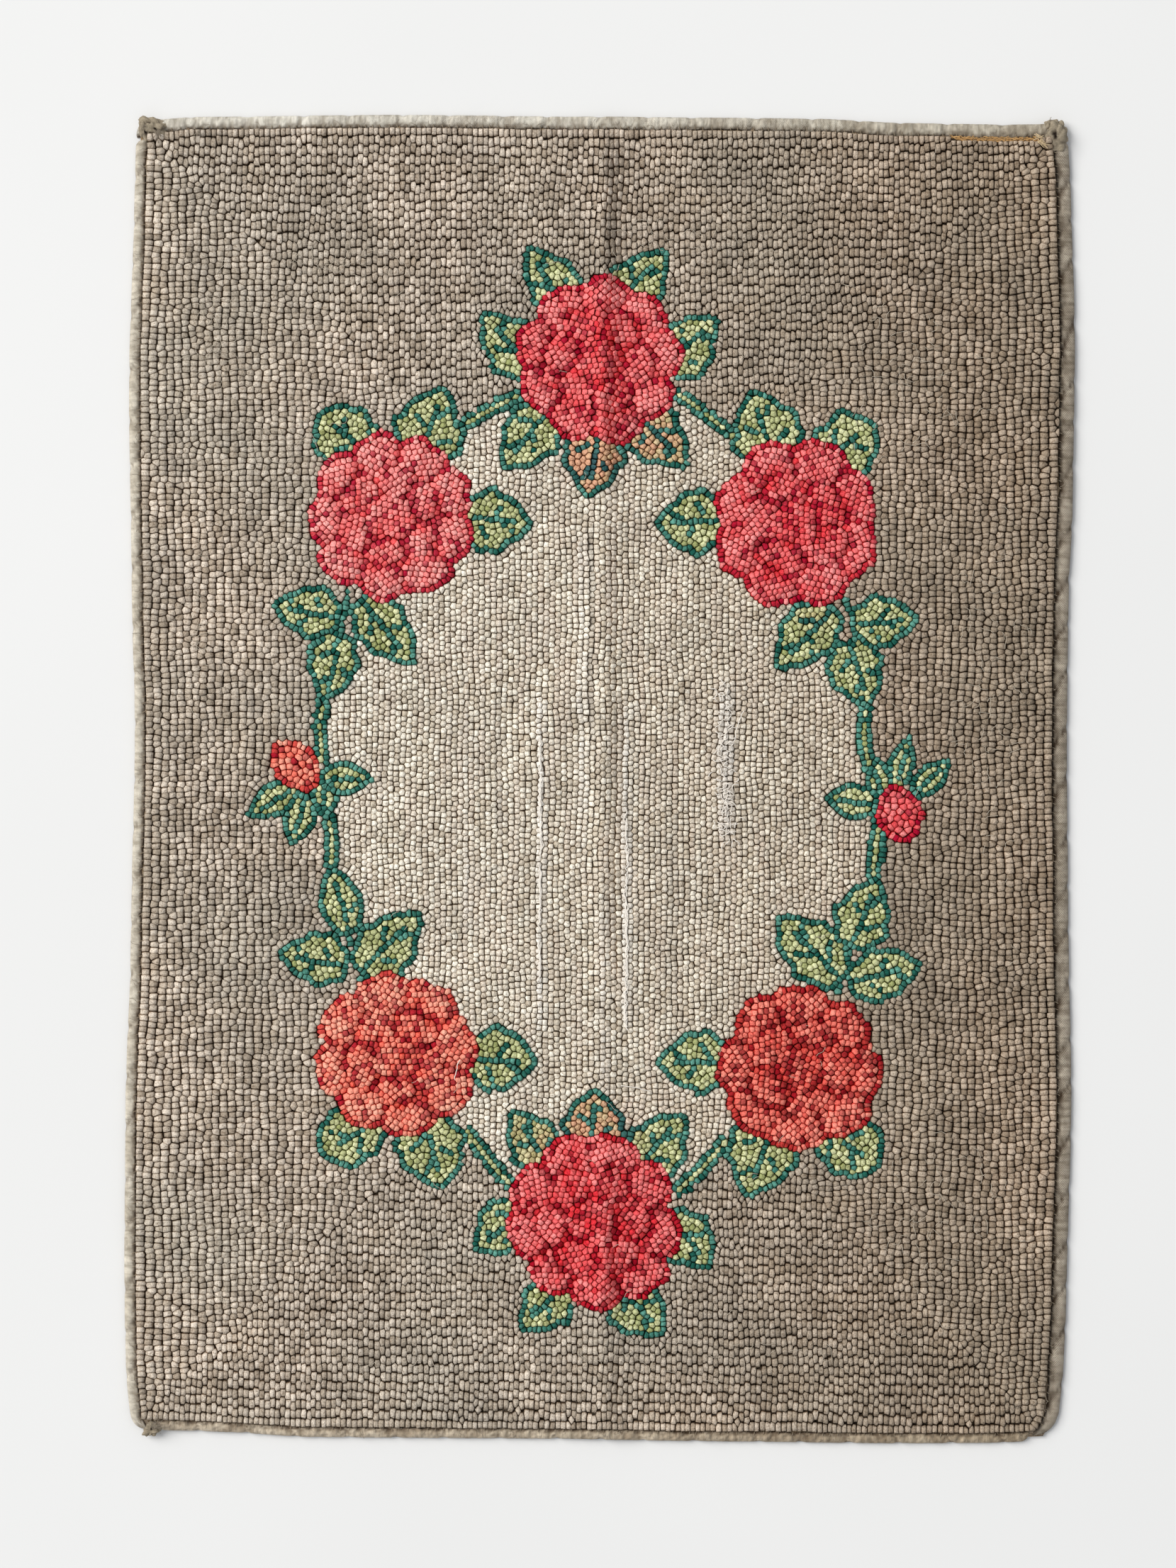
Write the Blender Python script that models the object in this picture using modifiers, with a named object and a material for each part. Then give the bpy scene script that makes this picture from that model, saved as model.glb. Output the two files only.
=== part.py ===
"""Hooked wool rug: one hooked panel with four folded binding tapes round its edges.

The rug lies face up on the surface it rests on.  X runs across the width, +Y is the top of
the design and +Z is up.  The origin is under the middle of the rug, on the surface.
Everything is in metres.
"""
import math

import bmesh
import bpy

# ---- driving dimensions -----------------------------------------------------------------
HALF_WIDTH = 0.350          # middle line to the outer edge, before the edges wander
HALF_LENGTH = 0.493
FOUNDATION = 0.0020         # burlap with the loop tails flattened against it
PILE_TOTAL = 0.0080         # underside to the tops of the loops
TAPE = 0.0012               # binding tape, one layer
CLEARANCE = 0.0003          # between neighbouring pieces
PILE_LEAN = 0.0012          # how far the outermost row of loops slopes back
UNDERLAP = 0.0160           # panel raised this far in, over the tapes' folded-under legs
TAPE_WIDTH = 0.025          # whole strip before it is folded over the edge

RIDGE_X = 0.003             # the old fold line, up the middle of the rug
RIDGE_HALF = 0.034
GRID_STEP = 0.042           # spacing of sections away from edges and fold
INNER_START = 0.045         # first of those sections, from the outer edge
CORNER_Y = 0.485            # where the side edges are read for the corner joints

# How far each edge wanders outward (+) or inward (-) from its straight line.
# columns: place along the edge, outward
LEFT_EDGE = (
    (0.500, -0.004),
    (0.460, -0.002),
    (0.290, 0.0025),
    (0.140, 0.0005),
    (0.040, -0.002),
    (-0.120, 0.001),
    (-0.240, 0.005),
    (-0.380, 0.006),
    (-0.440, 0.005),
    (-0.472, 0.002),
    (-0.496, -0.006),
)
RIGHT_EDGE = (
    (0.500, -0.006),
    (0.465, 0.0025),
    (0.330, 0.006),
    (0.210, 0.0045),
    (0.130, 0.001),
    (0.020, 0.000),
    (-0.100, 0.001),
    (-0.240, 0.0035),
    (-0.380, 0.000),
    (-0.450, -0.003),
    (-0.474, -0.006),
    (-0.499, -0.018),
)
TOP_EDGE = (
    (-0.360, -0.003),
    (-0.310, 0.003),
    (-0.150, 0.0045),
    (0.000, 0.003),
    (0.150, 0.002),
    (0.240, -0.002),
    (0.320, -0.003),
    (0.360, -0.001),
)
BOTTOM_EDGE = (
    (-0.360, -0.006),
    (-0.300, -0.005),
    (-0.210, 0.000),
    (-0.030, 0.001),
    (0.080, 0.003),
    (0.230, 0.0045),
    (0.310, 0.004),
    (0.350, -0.003),
)

# Folded width of each tape on the face of the rug, and where the tape starts and stops
# along its edge.  The top tape runs over both upper corners, the side tapes run down to the
# lower corners and the bottom tape lies between them.
# columns: node, edge, width on the face, colour
TAPES = (
    ("binding_top", "top", 0.0100, (0.60, 0.56, 0.49)),
    ("binding_bottom", "bottom", 0.0080, (0.52, 0.48, 0.41)),
    ("binding_left", "left", 0.0085, (0.66, 0.61, 0.52)),
    ("binding_right", "right", 0.0115, (0.62, 0.58, 0.50)),
)

# Soft lifts of the rug off the surface.
# columns: name, x, y, half length in x, half length in y, height
LIFTS = (
    ("fold_top_rose", RIDGE_X, 0.300, RIDGE_HALF, 0.170, 0.0020),
    ("fold_bottom_rose", RIDGE_X, -0.340, RIDGE_HALF, 0.170, 0.0020),
    ("lump_bottom_rose", -0.030, -0.325, 0.055, 0.050, 0.0015),
    ("lump_top_rose", 0.045, 0.300, 0.050, 0.060, 0.0010),
    ("wave_left", -0.350, -0.290, 0.060, 0.150, 0.0012),
    ("wave_right", 0.350, 0.250, 0.060, 0.170, 0.0010),
    ("corner_top_right", 0.350, 0.493, 0.060, 0.060, 0.0022),
    ("corner_bottom_left", -0.350, -0.493, 0.070, 0.060, 0.0015),
)
RIDGE_HEIGHT = 0.0018       # the fold's height along its whole length

# ---- worked out from them ---------------------------------------------------------------
RIM_HEIGHT = 2 * (TAPE + CLEARANCE) + FOUNDATION     # a tape folded round the foundation
JOINT = 2 * CLEARANCE                                # between two tapes at a corner
FACE_WIDTH = {edge: width for _node, edge, width, _colour in TAPES}


# ---- shape of the rug -------------------------------------------------------------------
def smooth_between(table, place):
    """Value of a two-column table at a place, eased between its rows."""
    rows = sorted(table)
    if place <= rows[0][0]:
        return rows[0][1]
    for (start, low), (end, high) in zip(rows, rows[1:]):
        if place <= end:
            t = (place - start) / (end - start)
            return low + (high - low) * t * t * (3 - 2 * t)
    return rows[-1][1]


def bump(distance, half):
    """A soft hump: one at its middle, and flat zero from its half length outward."""
    t = abs(distance) / half
    return 0.5 + 0.5 * math.cos(math.pi * t) if t < 1 else 0.0


def lift(x, y):
    """Height of the rug's underside over the surface, from its old fold and its lumps."""
    height = RIDGE_HEIGHT * bump(x - RIDGE_X, RIDGE_HALF)
    for _name, middle_x, middle_y, half_x, half_y, top in LIFTS:
        height += top * bump(x - middle_x, half_x) * bump(y - middle_y, half_y)
    return height


def edge_point(edge, along, inward):
    """Plan position a distance inward from one of the four outer edges."""
    if edge == "left":
        return -HALF_WIDTH - smooth_between(LEFT_EDGE, along) + inward, along
    if edge == "right":
        return HALF_WIDTH + smooth_between(RIGHT_EDGE, along) - inward, along
    if edge == "top":
        return along, HALF_LENGTH + smooth_between(TOP_EDGE, along) - inward
    return along, -HALF_LENGTH - smooth_between(BOTTOM_EDGE, along) + inward


def even_stations(start, end, step):
    """Evenly spaced places between two ends, both left out."""
    count = max(1, round((end - start) / step))
    return [start + (end - start) * index / count for index in range(1, count)]


def across_stations():
    """Places of the lengthwise section lines, closer together over the fold."""
    inner = HALF_WIDTH - INNER_START
    fold = [RIDGE_X + RIDGE_HALF * part for part in (-1, -0.68, -0.36, 0, 0.36, 0.68, 1)]
    left = even_stations(-inner, fold[0], GRID_STEP)
    right = even_stations(fold[-1], inner, GRID_STEP)
    return [-inner] + left + fold + right + [inner]


def along_stations():
    """Places of the crosswise section lines."""
    inner = HALF_LENGTH - INNER_START
    return [-inner] + even_stations(-inner, inner, GRID_STEP) + [inner]


# ---- modelling helpers ------------------------------------------------------------------
def shaped_grid(columns, rows, place):
    """A flat grid whose points are moved to place(column, row)."""
    bm = bmesh.new()
    bmesh.ops.create_grid(bm, x_segments=columns - 1, y_segments=rows - 1, size=1.0)
    for vertex in bm.verts:
        column = round((vertex.co.x + 1) / 2 * (columns - 1))
        row = round((vertex.co.y + 1) / 2 * (rows - 1))
        vertex.co = place(column, row)
    return bm


def finish_object(name, bm, colour, roughness, collection):
    """Turn a bmesh into a named, smoothly shaded object with its own material."""
    mesh = bpy.data.meshes.new(name)
    bm.to_mesh(mesh)
    bm.free()
    mesh.shade_smooth()
    obj = bpy.data.objects.new(name, mesh)
    collection.objects.link(obj)
    material = bpy.data.materials.new(name)
    material.use_nodes = True
    shader = material.node_tree.nodes["Principled BSDF"]
    shader.inputs["Base Color"].default_value = (*colour, 1.0)
    shader.inputs["Roughness"].default_value = roughness
    shader.inputs["Metallic"].default_value = 0.0
    mesh.materials.append(material)
    return obj


def add_thickness(obj, thickness, offset):
    """Give an open surface its thickness, on the side that offset names."""
    modifier = obj.modifiers.new("thickness", "SOLIDIFY")
    modifier.thickness = thickness
    modifier.offset = offset
    modifier.use_rim = True
    return modifier


# ---- the panel --------------------------------------------------------------------------
def rim_places(edge):
    """Distances inward of the panel's edge, pile foot, pile top and last raised section."""
    foot = FACE_WIDTH[edge] + CLEARANCE
    return RIM_HEIGHT / 2 + 2 * CLEARANCE, foot, foot + PILE_LEAN, UNDERLAP


def section_line(index, inner, edges, half):
    """One section line of the panel: the edge it follows, its distance in and its place."""
    low, high = edges
    rim = len(rim_places(low))
    if index < rim:
        inward = rim_places(low)[index]
        return low, inward, inward - half
    if index >= rim + len(inner):
        inward = rim_places(high)[len(inner) + 2 * rim - 1 - index]
        return high, inward, half - inward
    return None, 0.0, inner[index - rim]


def panel_lines(edge):
    """Places along an edge where the panel's section lines meet it, low to high."""
    if edge in ("left", "right"):
        inner, low, high, pick = along_stations(), "bottom", "top", 1
    else:
        inner, low, high, pick = across_stations(), "left", "right", 0
    at_low = edge_point(edge, -CORNER_Y if pick else -HALF_WIDTH, 0)[1 - pick]
    at_high = edge_point(edge, CORNER_Y if pick else HALF_WIDTH, 0)[1 - pick]
    lows = [edge_point(low, at_low, inward)[pick] for inward in rim_places(low)]
    highs = [edge_point(high, at_high, inward)[pick] for inward in rim_places(high)]
    return lows + inner + highs[::-1]


def hooked_panel(collection):
    """Foundation and pile in one body: thin at the rim, full height inside the tapes."""
    across = across_stations()
    along = along_stations()
    rim = len(rim_places("left"))
    columns = len(across) + 2 * rim
    rows = len(along) + 2 * rim

    def place(column, row):
        """Position of one point of the underside."""
        side, inward_x, x = section_line(column, across, ("left", "right"), HALF_WIDTH)
        end, inward_y, y = section_line(row, along, ("bottom", "top"), HALF_LENGTH)
        if end:
            y = edge_point(end, x, inward_y)[1]
        if side:
            x = edge_point(side, y, inward_x)[0]
        over_tape = TAPE + CLEARANCE if side or end else 0.0
        return x, y, over_tape + lift(x, y)

    underside = shaped_grid(columns, rows, place)
    obj = finish_object("hooked_panel", underside, (0.42, 0.36, 0.29), 0.95, collection)
    pile = obj.vertex_groups.new(name="pile")
    foot = 1
    for vertex in obj.data.vertices:
        column, row = vertex.index % columns, vertex.index // columns
        if foot < column < columns - 1 - foot and foot < row < rows - 1 - foot:
            pile.add([vertex.index], 1.0, "REPLACE")
    thickness = add_thickness(obj, PILE_TOTAL, 1.0)
    thickness.vertex_group = pile.name
    thickness.thickness_vertex_group = FOUNDATION / PILE_TOTAL
    return obj


# ---- the binding tapes ------------------------------------------------------------------
def tape_section(face_width):
    """Outer line of a folded tape, face to back: distances inward and heights."""
    radius = RIM_HEIGHT / 2
    arc = [math.radians(angle) for angle in (90, 135, 180, 225, 270)]
    wrap = [(radius * (1 - math.sin(angle - math.pi / 2)), radius * (1 + math.sin(angle)))
            for angle in arc]
    back_width = TAPE_WIDTH - face_width - math.pi * radius / 2
    return [(face_width, RIM_HEIGHT)] + wrap + [(back_width, 0.0)]


def reach(edge):
    """How far inward a tape goes from its outer edge, on the face or on the back."""
    return max(inward for inward, _height in tape_section(FACE_WIDTH[edge]))


def tape_span(edge):
    """Where a tape starts and stops along its edge, clear of the tapes that it meets."""
    if edge == "top":
        return edge_point("left", CORNER_Y, 0)[0], edge_point("right", CORNER_Y, 0)[0]
    low_y = -HALF_LENGTH
    if edge == "bottom":
        left = max(edge_point("left", y, 0)[0] for y in (-CORNER_Y, low_y))
        right = min(edge_point("right", y, 0)[0] for y in (-CORNER_Y, low_y))
        return left + reach("left") + JOINT, right - reach("right") - JOINT
    outer = edge_point(edge, CORNER_Y, 0)[0]
    inner = edge_point(edge, CORNER_Y, reach(edge))[0]
    top = min(edge_point("top", x, reach("top"))[1] for x in (outer, inner))
    return edge_point("bottom", edge_point(edge, -CORNER_Y, 0)[0], 0)[1], top - JOINT


def binding(node, edge, colour, collection):
    """One binding tape: a strip folded over the rim from the face to the back."""
    section = tape_section(FACE_WIDTH[edge])
    start, end = tape_span(edge)
    inner = [place for place in panel_lines(edge) if start + JOINT < place < end - JOINT]
    places = [start] + inner + [end]
    if edge in ("right", "bottom"):
        places.reverse()

    def place(column, row):
        """Position of one point of the strip."""
        inward, height = section[row]
        x, y = edge_point(edge, places[column], inward)
        return x, y, height + lift(x, y)

    strip = shaped_grid(len(places), len(section), place)
    obj = finish_object(node, strip, colour, 0.85, collection)
    add_thickness(obj, TAPE, -1.0).use_even_offset = True
    return obj


def main():
    """Clear the scene and build the rug."""
    for old in list(bpy.data.objects):
        bpy.data.objects.remove(old, do_unlink=True)
    collection = bpy.data.collections.new("hooked_rug")
    bpy.context.scene.collection.children.link(collection)
    hooked_panel(collection)
    for node, edge, _face_width, colour in TAPES:
        binding(node, edge, colour, collection)


main()
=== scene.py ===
"""Dress the hooked wool rug: its loops, burlap backing, folded binding tapes and threads.

Everything is in metres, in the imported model's own frame.  X runs across the width, +Y is the
top of the design, +Z is up, and the rug lies face up on the surface it rests on.
"""
import logging
import math
import random
from dataclasses import dataclass, field
from enum import Enum

import bmesh
import bpy
import numpy as np
from mathutils import Matrix, Vector, noise
from mathutils.bvhtree import BVHTree


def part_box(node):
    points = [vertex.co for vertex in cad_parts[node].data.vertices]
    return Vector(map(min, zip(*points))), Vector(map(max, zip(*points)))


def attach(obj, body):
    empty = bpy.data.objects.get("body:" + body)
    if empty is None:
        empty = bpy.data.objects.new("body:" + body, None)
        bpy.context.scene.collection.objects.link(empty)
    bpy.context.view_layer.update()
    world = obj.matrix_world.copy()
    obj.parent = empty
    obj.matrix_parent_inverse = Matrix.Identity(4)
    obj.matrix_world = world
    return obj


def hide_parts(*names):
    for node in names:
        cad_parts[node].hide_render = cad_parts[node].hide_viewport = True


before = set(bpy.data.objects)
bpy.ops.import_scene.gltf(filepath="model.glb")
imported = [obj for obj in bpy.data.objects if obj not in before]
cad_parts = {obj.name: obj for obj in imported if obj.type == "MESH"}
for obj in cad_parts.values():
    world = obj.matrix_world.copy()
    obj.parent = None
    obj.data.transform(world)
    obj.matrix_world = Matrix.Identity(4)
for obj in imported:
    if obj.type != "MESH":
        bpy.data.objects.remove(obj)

LOG = logging.getLogger("hooked_rug")
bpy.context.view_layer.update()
SEED = 1927
CURVE_STEPS = 12
DESIGN_STEP = 0.001
GOLDEN = 0.618

Point = tuple[float, float]
Colour = tuple[float, float, float]
Number = float | np.ndarray
Socket = bpy.types.NodeSocket


# ---- choices ----------------------------------------------------------------------------
class Edge(Enum):
    """The four edges of the rug, named by their binding tapes."""

    LEFT = "left"
    RIGHT = "right"
    TOP = "top"
    BOTTOM = "bottom"

    @property
    def upright(self) -> bool:
        """True for the two side edges, which run along Y."""
        return self in (Edge.LEFT, Edge.RIGHT)

    @property
    def outward(self) -> float:
        """Direction of the outside along the axis across the edge."""
        return 1.0 if self in (Edge.RIGHT, Edge.TOP) else -1.0


class Yarn(Enum):
    """What a loop is hooked with."""

    GROUND = 0
    IVORY = 1
    TEAL = 2
    LEAF = 3
    ROSE = 4
    ROSE_RIM = 5


class Zone(Enum):
    """Fields of loops, each made as one piece."""

    LEFT = "ground_loops_left"
    RIGHT = "ground_loops_right"
    TOP = "ground_loops_top"
    BOTTOM = "ground_loops_bottom"
    MEDALLION = "medallion_loops"
    ROSES = "rose_loops"
    LEAVES = "leaf_loops"


class LeafForm(Enum):
    """How a leaf narrows towards its tip: belly place, shoulder and number of lobes."""

    POINTED = (0.42, 0.86, 3)
    SHIELD = (0.62, 0.52, 3)
    SLIM = (0.48, 0.95, 0)


# ---- small helpers ----------------------------------------------------------------------
def linear(red: int, green: int, blue: int) -> Colour:
    """Scene-linear colour of an 8-bit swatch."""
    return tuple(((c / 255 + 0.055) / 1.055) ** 2.4 if c > 10 else c / 255 / 12.92
                 for c in (red, green, blue))


def blended(first: Colour, second: Colour, share: float) -> Colour:
    """Colour between two, share 0 being the first."""
    return tuple(a + (b - a) * share for a, b in zip(first, second))


def hump(distance: float, half: float) -> float:
    """A soft hump: one at its middle and zero from its half length outward."""
    t = abs(distance) / half
    return 0.5 + 0.5 * math.cos(math.pi * t) if t < 1 else 0.0


def drift(x: float, y: float, grain: float, layer: float = 0.0) -> float:
    """Smooth noise from about -1 to 1 that changes over a distance of grain."""
    return noise.noise(Vector((x / grain, y / grain, layer)))


def smooth_line(points: list[Point], spacing: float, closed: bool) -> list[Point]:
    """Even places along a smooth line through given points.

    Args:
        points: the points that the line passes through.
        spacing: distance wanted between places.
        closed: True if the line returns to its first point.

    Returns:
        Places at equal distances along the line.
    """
    count = len(points)
    dense = []
    for index in range(count if closed else count - 1):
        if closed:
            p0, p1, p2, p3 = (Vector(points[(index + k) % count]) for k in (-1, 0, 1, 2))
        else:
            p0, p1, p2, p3 = (Vector(points[min(max(index + k, 0), count - 1)])
                              for k in (-1, 0, 1, 2))
        for step in range(CURVE_STEPS):
            t = step / CURVE_STEPS
            dense.append(0.5 * (2 * p1 + (p2 - p0) * t + (2 * p0 - 5 * p1 + 4 * p2 - p3) * t * t
                                + (3 * p1 - p0 - 3 * p2 + p3) * t ** 3))
    dense.append(Vector(points[0] if closed else points[-1]))
    lengths = [0.0]
    for a, b in zip(dense, dense[1:]):
        lengths.append(lengths[-1] + (b - a).length)
    number = max(1, round(lengths[-1] / spacing))
    wanted = np.arange(number if closed else number + 1) * (lengths[-1] / number)
    xs = np.interp(wanted, lengths, [p.x for p in dense])
    ys = np.interp(wanted, lengths, [p.y for p in dense])
    return list(zip(xs.tolist(), ys.tolist()))


def inside(polygon: list[Point], xs: np.ndarray, ys: np.ndarray) -> np.ndarray:
    """Which of many places lie inside a closed polygon.

    Args:
        polygon: corners of the closed shape.
        xs: places along X.
        ys: places along Y.

    Returns:
        True for each place inside.
    """
    result = np.zeros(xs.shape, dtype=bool)
    for (ax, ay), (bx, by) in zip(polygon, polygon[1:] + polygon[:1]):
        if ay == by:
            continue
        crossing = (ay > ys) != (by > ys)
        result ^= crossing & (xs < (bx - ax) * (ys - ay) / (by - ay) + ax)
    return result


# ---- finishes ---------------------------------------------------------------------------
class Nodes:
    """Builds one material's nodes, with the Principled shader already in place."""

    GLOSS = 0.08
    SHEEN_ROUGH = 0.6

    def __init__(self, name: str) -> None:
        """Start a material with an empty pattern.

        Args:
            name: its name.
        """
        self.material = bpy.data.materials.new(name)
        self.material.use_nodes = True
        self.tree = self.material.node_tree
        self.shader = self.tree.nodes["Principled BSDF"]

    def add(self, kind: str, **settings) -> bpy.types.Node:
        """One node, with its settings.

        Args:
            kind: the kind of node.
            **settings: settings of the node.

        Returns:
            The node.
        """
        node = self.tree.nodes.new(kind)
        for key, value in settings.items():
            setattr(node, key, value)
        return node

    def join(self, source: bpy.types.NodeSocket, target: bpy.types.NodeSocket) -> None:
        """Link one socket to another."""
        self.tree.links.new(source, target)

    def place(self, stretch: Colour = (1.0, 1.0, 1.0), turn: float = 0.0) -> Socket:
        """Object coordinates, stretched and turned about Z.

        Args:
            stretch: scale along each axis.
            turn: turn about Z.

        Returns:
            The coordinates.
        """
        coordinates = self.add("ShaderNodeTexCoord")
        mapping = self.add("ShaderNodeMapping")
        mapping.inputs["Scale"].default_value = stretch
        mapping.inputs["Rotation"].default_value = (0.0, 0.0, turn)
        self.join(coordinates.outputs["Object"], mapping.inputs["Vector"])
        return mapping.outputs["Vector"]

    def noise(self, vector: Socket, scale: float, detail: float = 2.0,
              rough: float = 0.5) -> Socket:
        """A noise pattern's value.

        Args:
            vector: the coordinates.
            scale: how fine the pattern is.
            detail: how many finer layers.
            rough: how matt or uneven it is.

        Returns:
            The pattern's value.
        """
        node = self.add("ShaderNodeTexNoise")
        node.inputs["Scale"].default_value = scale
        node.inputs["Detail"].default_value = detail
        node.inputs["Roughness"].default_value = rough
        self.join(vector, node.inputs["Vector"])
        return node.outputs["Fac"]

    def wave(self, vector: Socket, scale: float, distortion: float = 0.0,
             direction: str = "X") -> Socket:
        """A banded pattern's value.

        Args:
            vector: the coordinates.
            scale: how fine the pattern is.
            distortion: how much the bands wander.
            direction: the axis across the bands.

        Returns:
            The pattern's value.
        """
        node = self.add("ShaderNodeTexWave", bands_direction=direction)
        node.inputs["Scale"].default_value = scale
        node.inputs["Distortion"].default_value = distortion
        self.join(vector, node.inputs["Vector"])
        return node.outputs["Fac"]

    def steps(self, value: Socket, stops: list[tuple[float, Colour]]) -> Socket:
        """Colours along a value.

        Args:
            value: the value that picks the colour.
            stops: places and colours along the value.

        Returns:
            The colour.
        """
        node = self.add("ShaderNodeValToRGB")
        ramp = node.color_ramp
        while len(ramp.elements) < len(stops):
            ramp.elements.new(0.5)
        for element, (position, colour) in zip(ramp.elements, stops):
            element.position = position
            element.color = (*colour, 1.0)
        self.join(value, node.inputs["Fac"])
        return node.outputs["Color"]

    def mix(self, blend: str, first: Socket | Colour, second: Socket | Colour,
            share: Socket | float) -> Socket:
        """Two colours blended, the share a number or a socket.

        Args:
            blend: how the colours combine.
            first: the first colour.
            second: the second colour.
            share: share of the second.

        Returns:
            The mixed colour.
        """
        node = self.add("ShaderNodeMix", data_type="RGBA", blend_type=blend)
        for socket, value in ((node.inputs[6], first), (node.inputs[7], second),
                              (node.inputs[0], share)):
            if isinstance(value, bpy.types.NodeSocket):
                self.join(value, socket)
            elif isinstance(value, tuple):
                socket.default_value = (*value, 1.0)
            else:
                socket.default_value = value
        return node.outputs[2]

    def attribute(self, name: str) -> tuple[Socket, Socket]:
        """A colour or value kept on the mesh."""
        node = self.add("ShaderNodeAttribute", attribute_name=name)
        return node.outputs["Color"], node.outputs["Fac"]

    def across(self, low: float, high: float) -> Socket:
        """A value that runs from 0 to 1 between two places along X.

        Args:
            low: the low end.
            high: the high end.

        Returns:
            The value.
        """
        coordinates = self.add("ShaderNodeTexCoord")
        split = self.add("ShaderNodeSeparateXYZ")
        span = self.add("ShaderNodeMapRange")
        span.inputs["From Min"].default_value = low
        span.inputs["From Max"].default_value = high
        self.join(coordinates.outputs["Object"], split.inputs["Vector"])
        self.join(split.outputs["X"], span.inputs["Value"])
        return span.outputs["Result"]

    def bump(self, height: Socket, distance: float, strength: float) -> None:
        """Small relief on the surface, added over any earlier bump.

        Args:
            height: the pattern that raises it.
            distance: how far it is raised.
            strength: how strongly it shows.
        """
        node = self.add("ShaderNodeBump")
        node.inputs["Strength"].default_value = strength
        node.inputs["Distance"].default_value = distance
        self.join(height, node.inputs["Height"])
        normal = self.shader.inputs["Normal"]
        if normal.is_linked:
            self.join(normal.links[0].from_socket, node.inputs["Normal"])
        self.join(node.outputs["Normal"], normal)

    def finish(self, colour: Socket, rough: float, sheen: float = 0.0) -> bpy.types.Material:
        """Join the colour, set the gloss and return the material.

        Args:
            colour: the colour.
            rough: how matt or uneven it is.
            sheen: the soft gloss of loose fibres.

        Returns:
            The material.
        """
        self.join(colour, self.shader.inputs["Base Color"])
        self.shader.inputs["Roughness"].default_value = rough
        self.shader.inputs["Specular IOR Level"].default_value = self.GLOSS
        self.shader.inputs["Sheen Weight"].default_value = sheen
        self.shader.inputs["Sheen Roughness"].default_value = self.SHEEN_ROUGH
        return self.material


@dataclass(frozen=True)
class LoopWool:
    """Hooked wool: heathered strands, with painted shade darkening each loop down towards its foot
    between the loops, and a faint painted highlight on the dry crowns.
    """

    name: str = "hooked_wool"
    strand: float = 430.0
    heather: float = 1000.0
    fibre: float = 2600.0
    # The foot and wall colours are painted shade, darkening each loop down its side to its foot,
    # between the loops.
    foot: Colour = (0.34, 0.25, 0.21)
    painted_wall_shade: Colour = (0.60, 0.56, 0.52)

    def material(self) -> bpy.types.Material:
        """Build the wool, coloured by each loop's own dye.

        Returns:
            The material.
        """
        nodes = Nodes(self.name)
        dye, _ = nodes.attribute("dye")
        _, height = nodes.attribute("height")
        place = nodes.place()
        strands = nodes.noise(place, self.strand, 4.0, 0.62)
        heather = nodes.steps(nodes.noise(place, self.heather, 3.0, 0.65),
                              [(0.30, (0.62, 0.60, 0.57)), (0.50, (0.99, 0.99, 0.99)),
                               (0.70, (1.32, 1.32, 1.31))])
        # Dark splits between the strands, partly painted shade in the grooves where the strand bump
        # below sinks.
        strand_groove_shade = nodes.steps(strands, [(0.36, (0.55, 0.50, 0.45)), (0.45, (1.0, 1.0, 1.0))])
        colour = nodes.mix("MULTIPLY", dye, heather, 1.0)
        colour = nodes.mix("MULTIPLY", colour, strand_groove_shade, 0.75)
        # Painted shade: towards the foot the colour deepens to the dye's own square, the saturated
        # dark of the crevices between loops.
        deep = nodes.mix("MULTIPLY", dye, dye, 1.0)
        depth = nodes.steps(height, [(0.0, (1.0, 1.0, 1.0)), (0.78, (0.7, 0.7, 0.7)),
                                     (0.84, (0.0, 0.0, 0.0))])
        colour = nodes.mix("MIX", colour, deep, depth)
        # Painted shade on the side and foot of each loop and in a ring at its shoulder, with a
        # faint painted highlight on its crown.
        shade = nodes.steps(height, [(0.0, self.foot), (0.70, self.painted_wall_shade),
                                     (0.80, (0.82, 0.80, 0.78)), (0.84, (1.0, 1.0, 1.0)),
                                     (1.0, (1.04, 1.04, 1.04))])
        colour = nodes.mix("MULTIPLY", colour, shade, 1.0)
        nodes.bump(strands, 0.0018, 0.6)
        nodes.bump(nodes.noise(place, self.heather, 2.0, 0.6), 0.0008, 0.5)
        nodes.bump(nodes.noise(place, self.fibre, 1.0, 0.5), 0.0003, 0.45)
        return nodes.finish(colour, 1.0)


@dataclass(frozen=True)
class Burlap:
    """Backing cloth: coarse jute weave, with the backs of the hooked rows showing."""

    name: str = "burlap_backing"
    threads: float = 230.0
    jute: Colour = linear(158, 134, 102)
    shade: Colour = linear(96, 76, 54)

    def material(self) -> bpy.types.Material:
        """Build the weave over the tint of the loops above it.

        Returns:
            The material.
        """
        nodes = Nodes(self.name)
        tint, _ = nodes.attribute("dye")
        place = nodes.place()
        across = nodes.wave(place, self.threads, 1.5, "X")
        along = nodes.wave(place, self.threads, 1.5, "Y")
        weave = nodes.mix("SCREEN", nodes.steps(across, [(0.0, (0, 0, 0)), (1.0, (1, 1, 1))]),
                          nodes.steps(along, [(0.0, (0, 0, 0)), (1.0, (1, 1, 1))]), 1.0)
        jute = nodes.mix("MIX", self.shade, self.jute, weave)
        patches = nodes.noise(place, 120.0, 3.0, 0.7)
        share = nodes.steps(patches, [(0.42, (0.10, 0.10, 0.10)), (0.60, (0.75, 0.75, 0.75))])
        colour = nodes.mix("MIX", jute, tint, share)
        nodes.bump(weave, 0.0006, 0.8)
        return nodes.finish(colour, 0.95)


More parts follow.
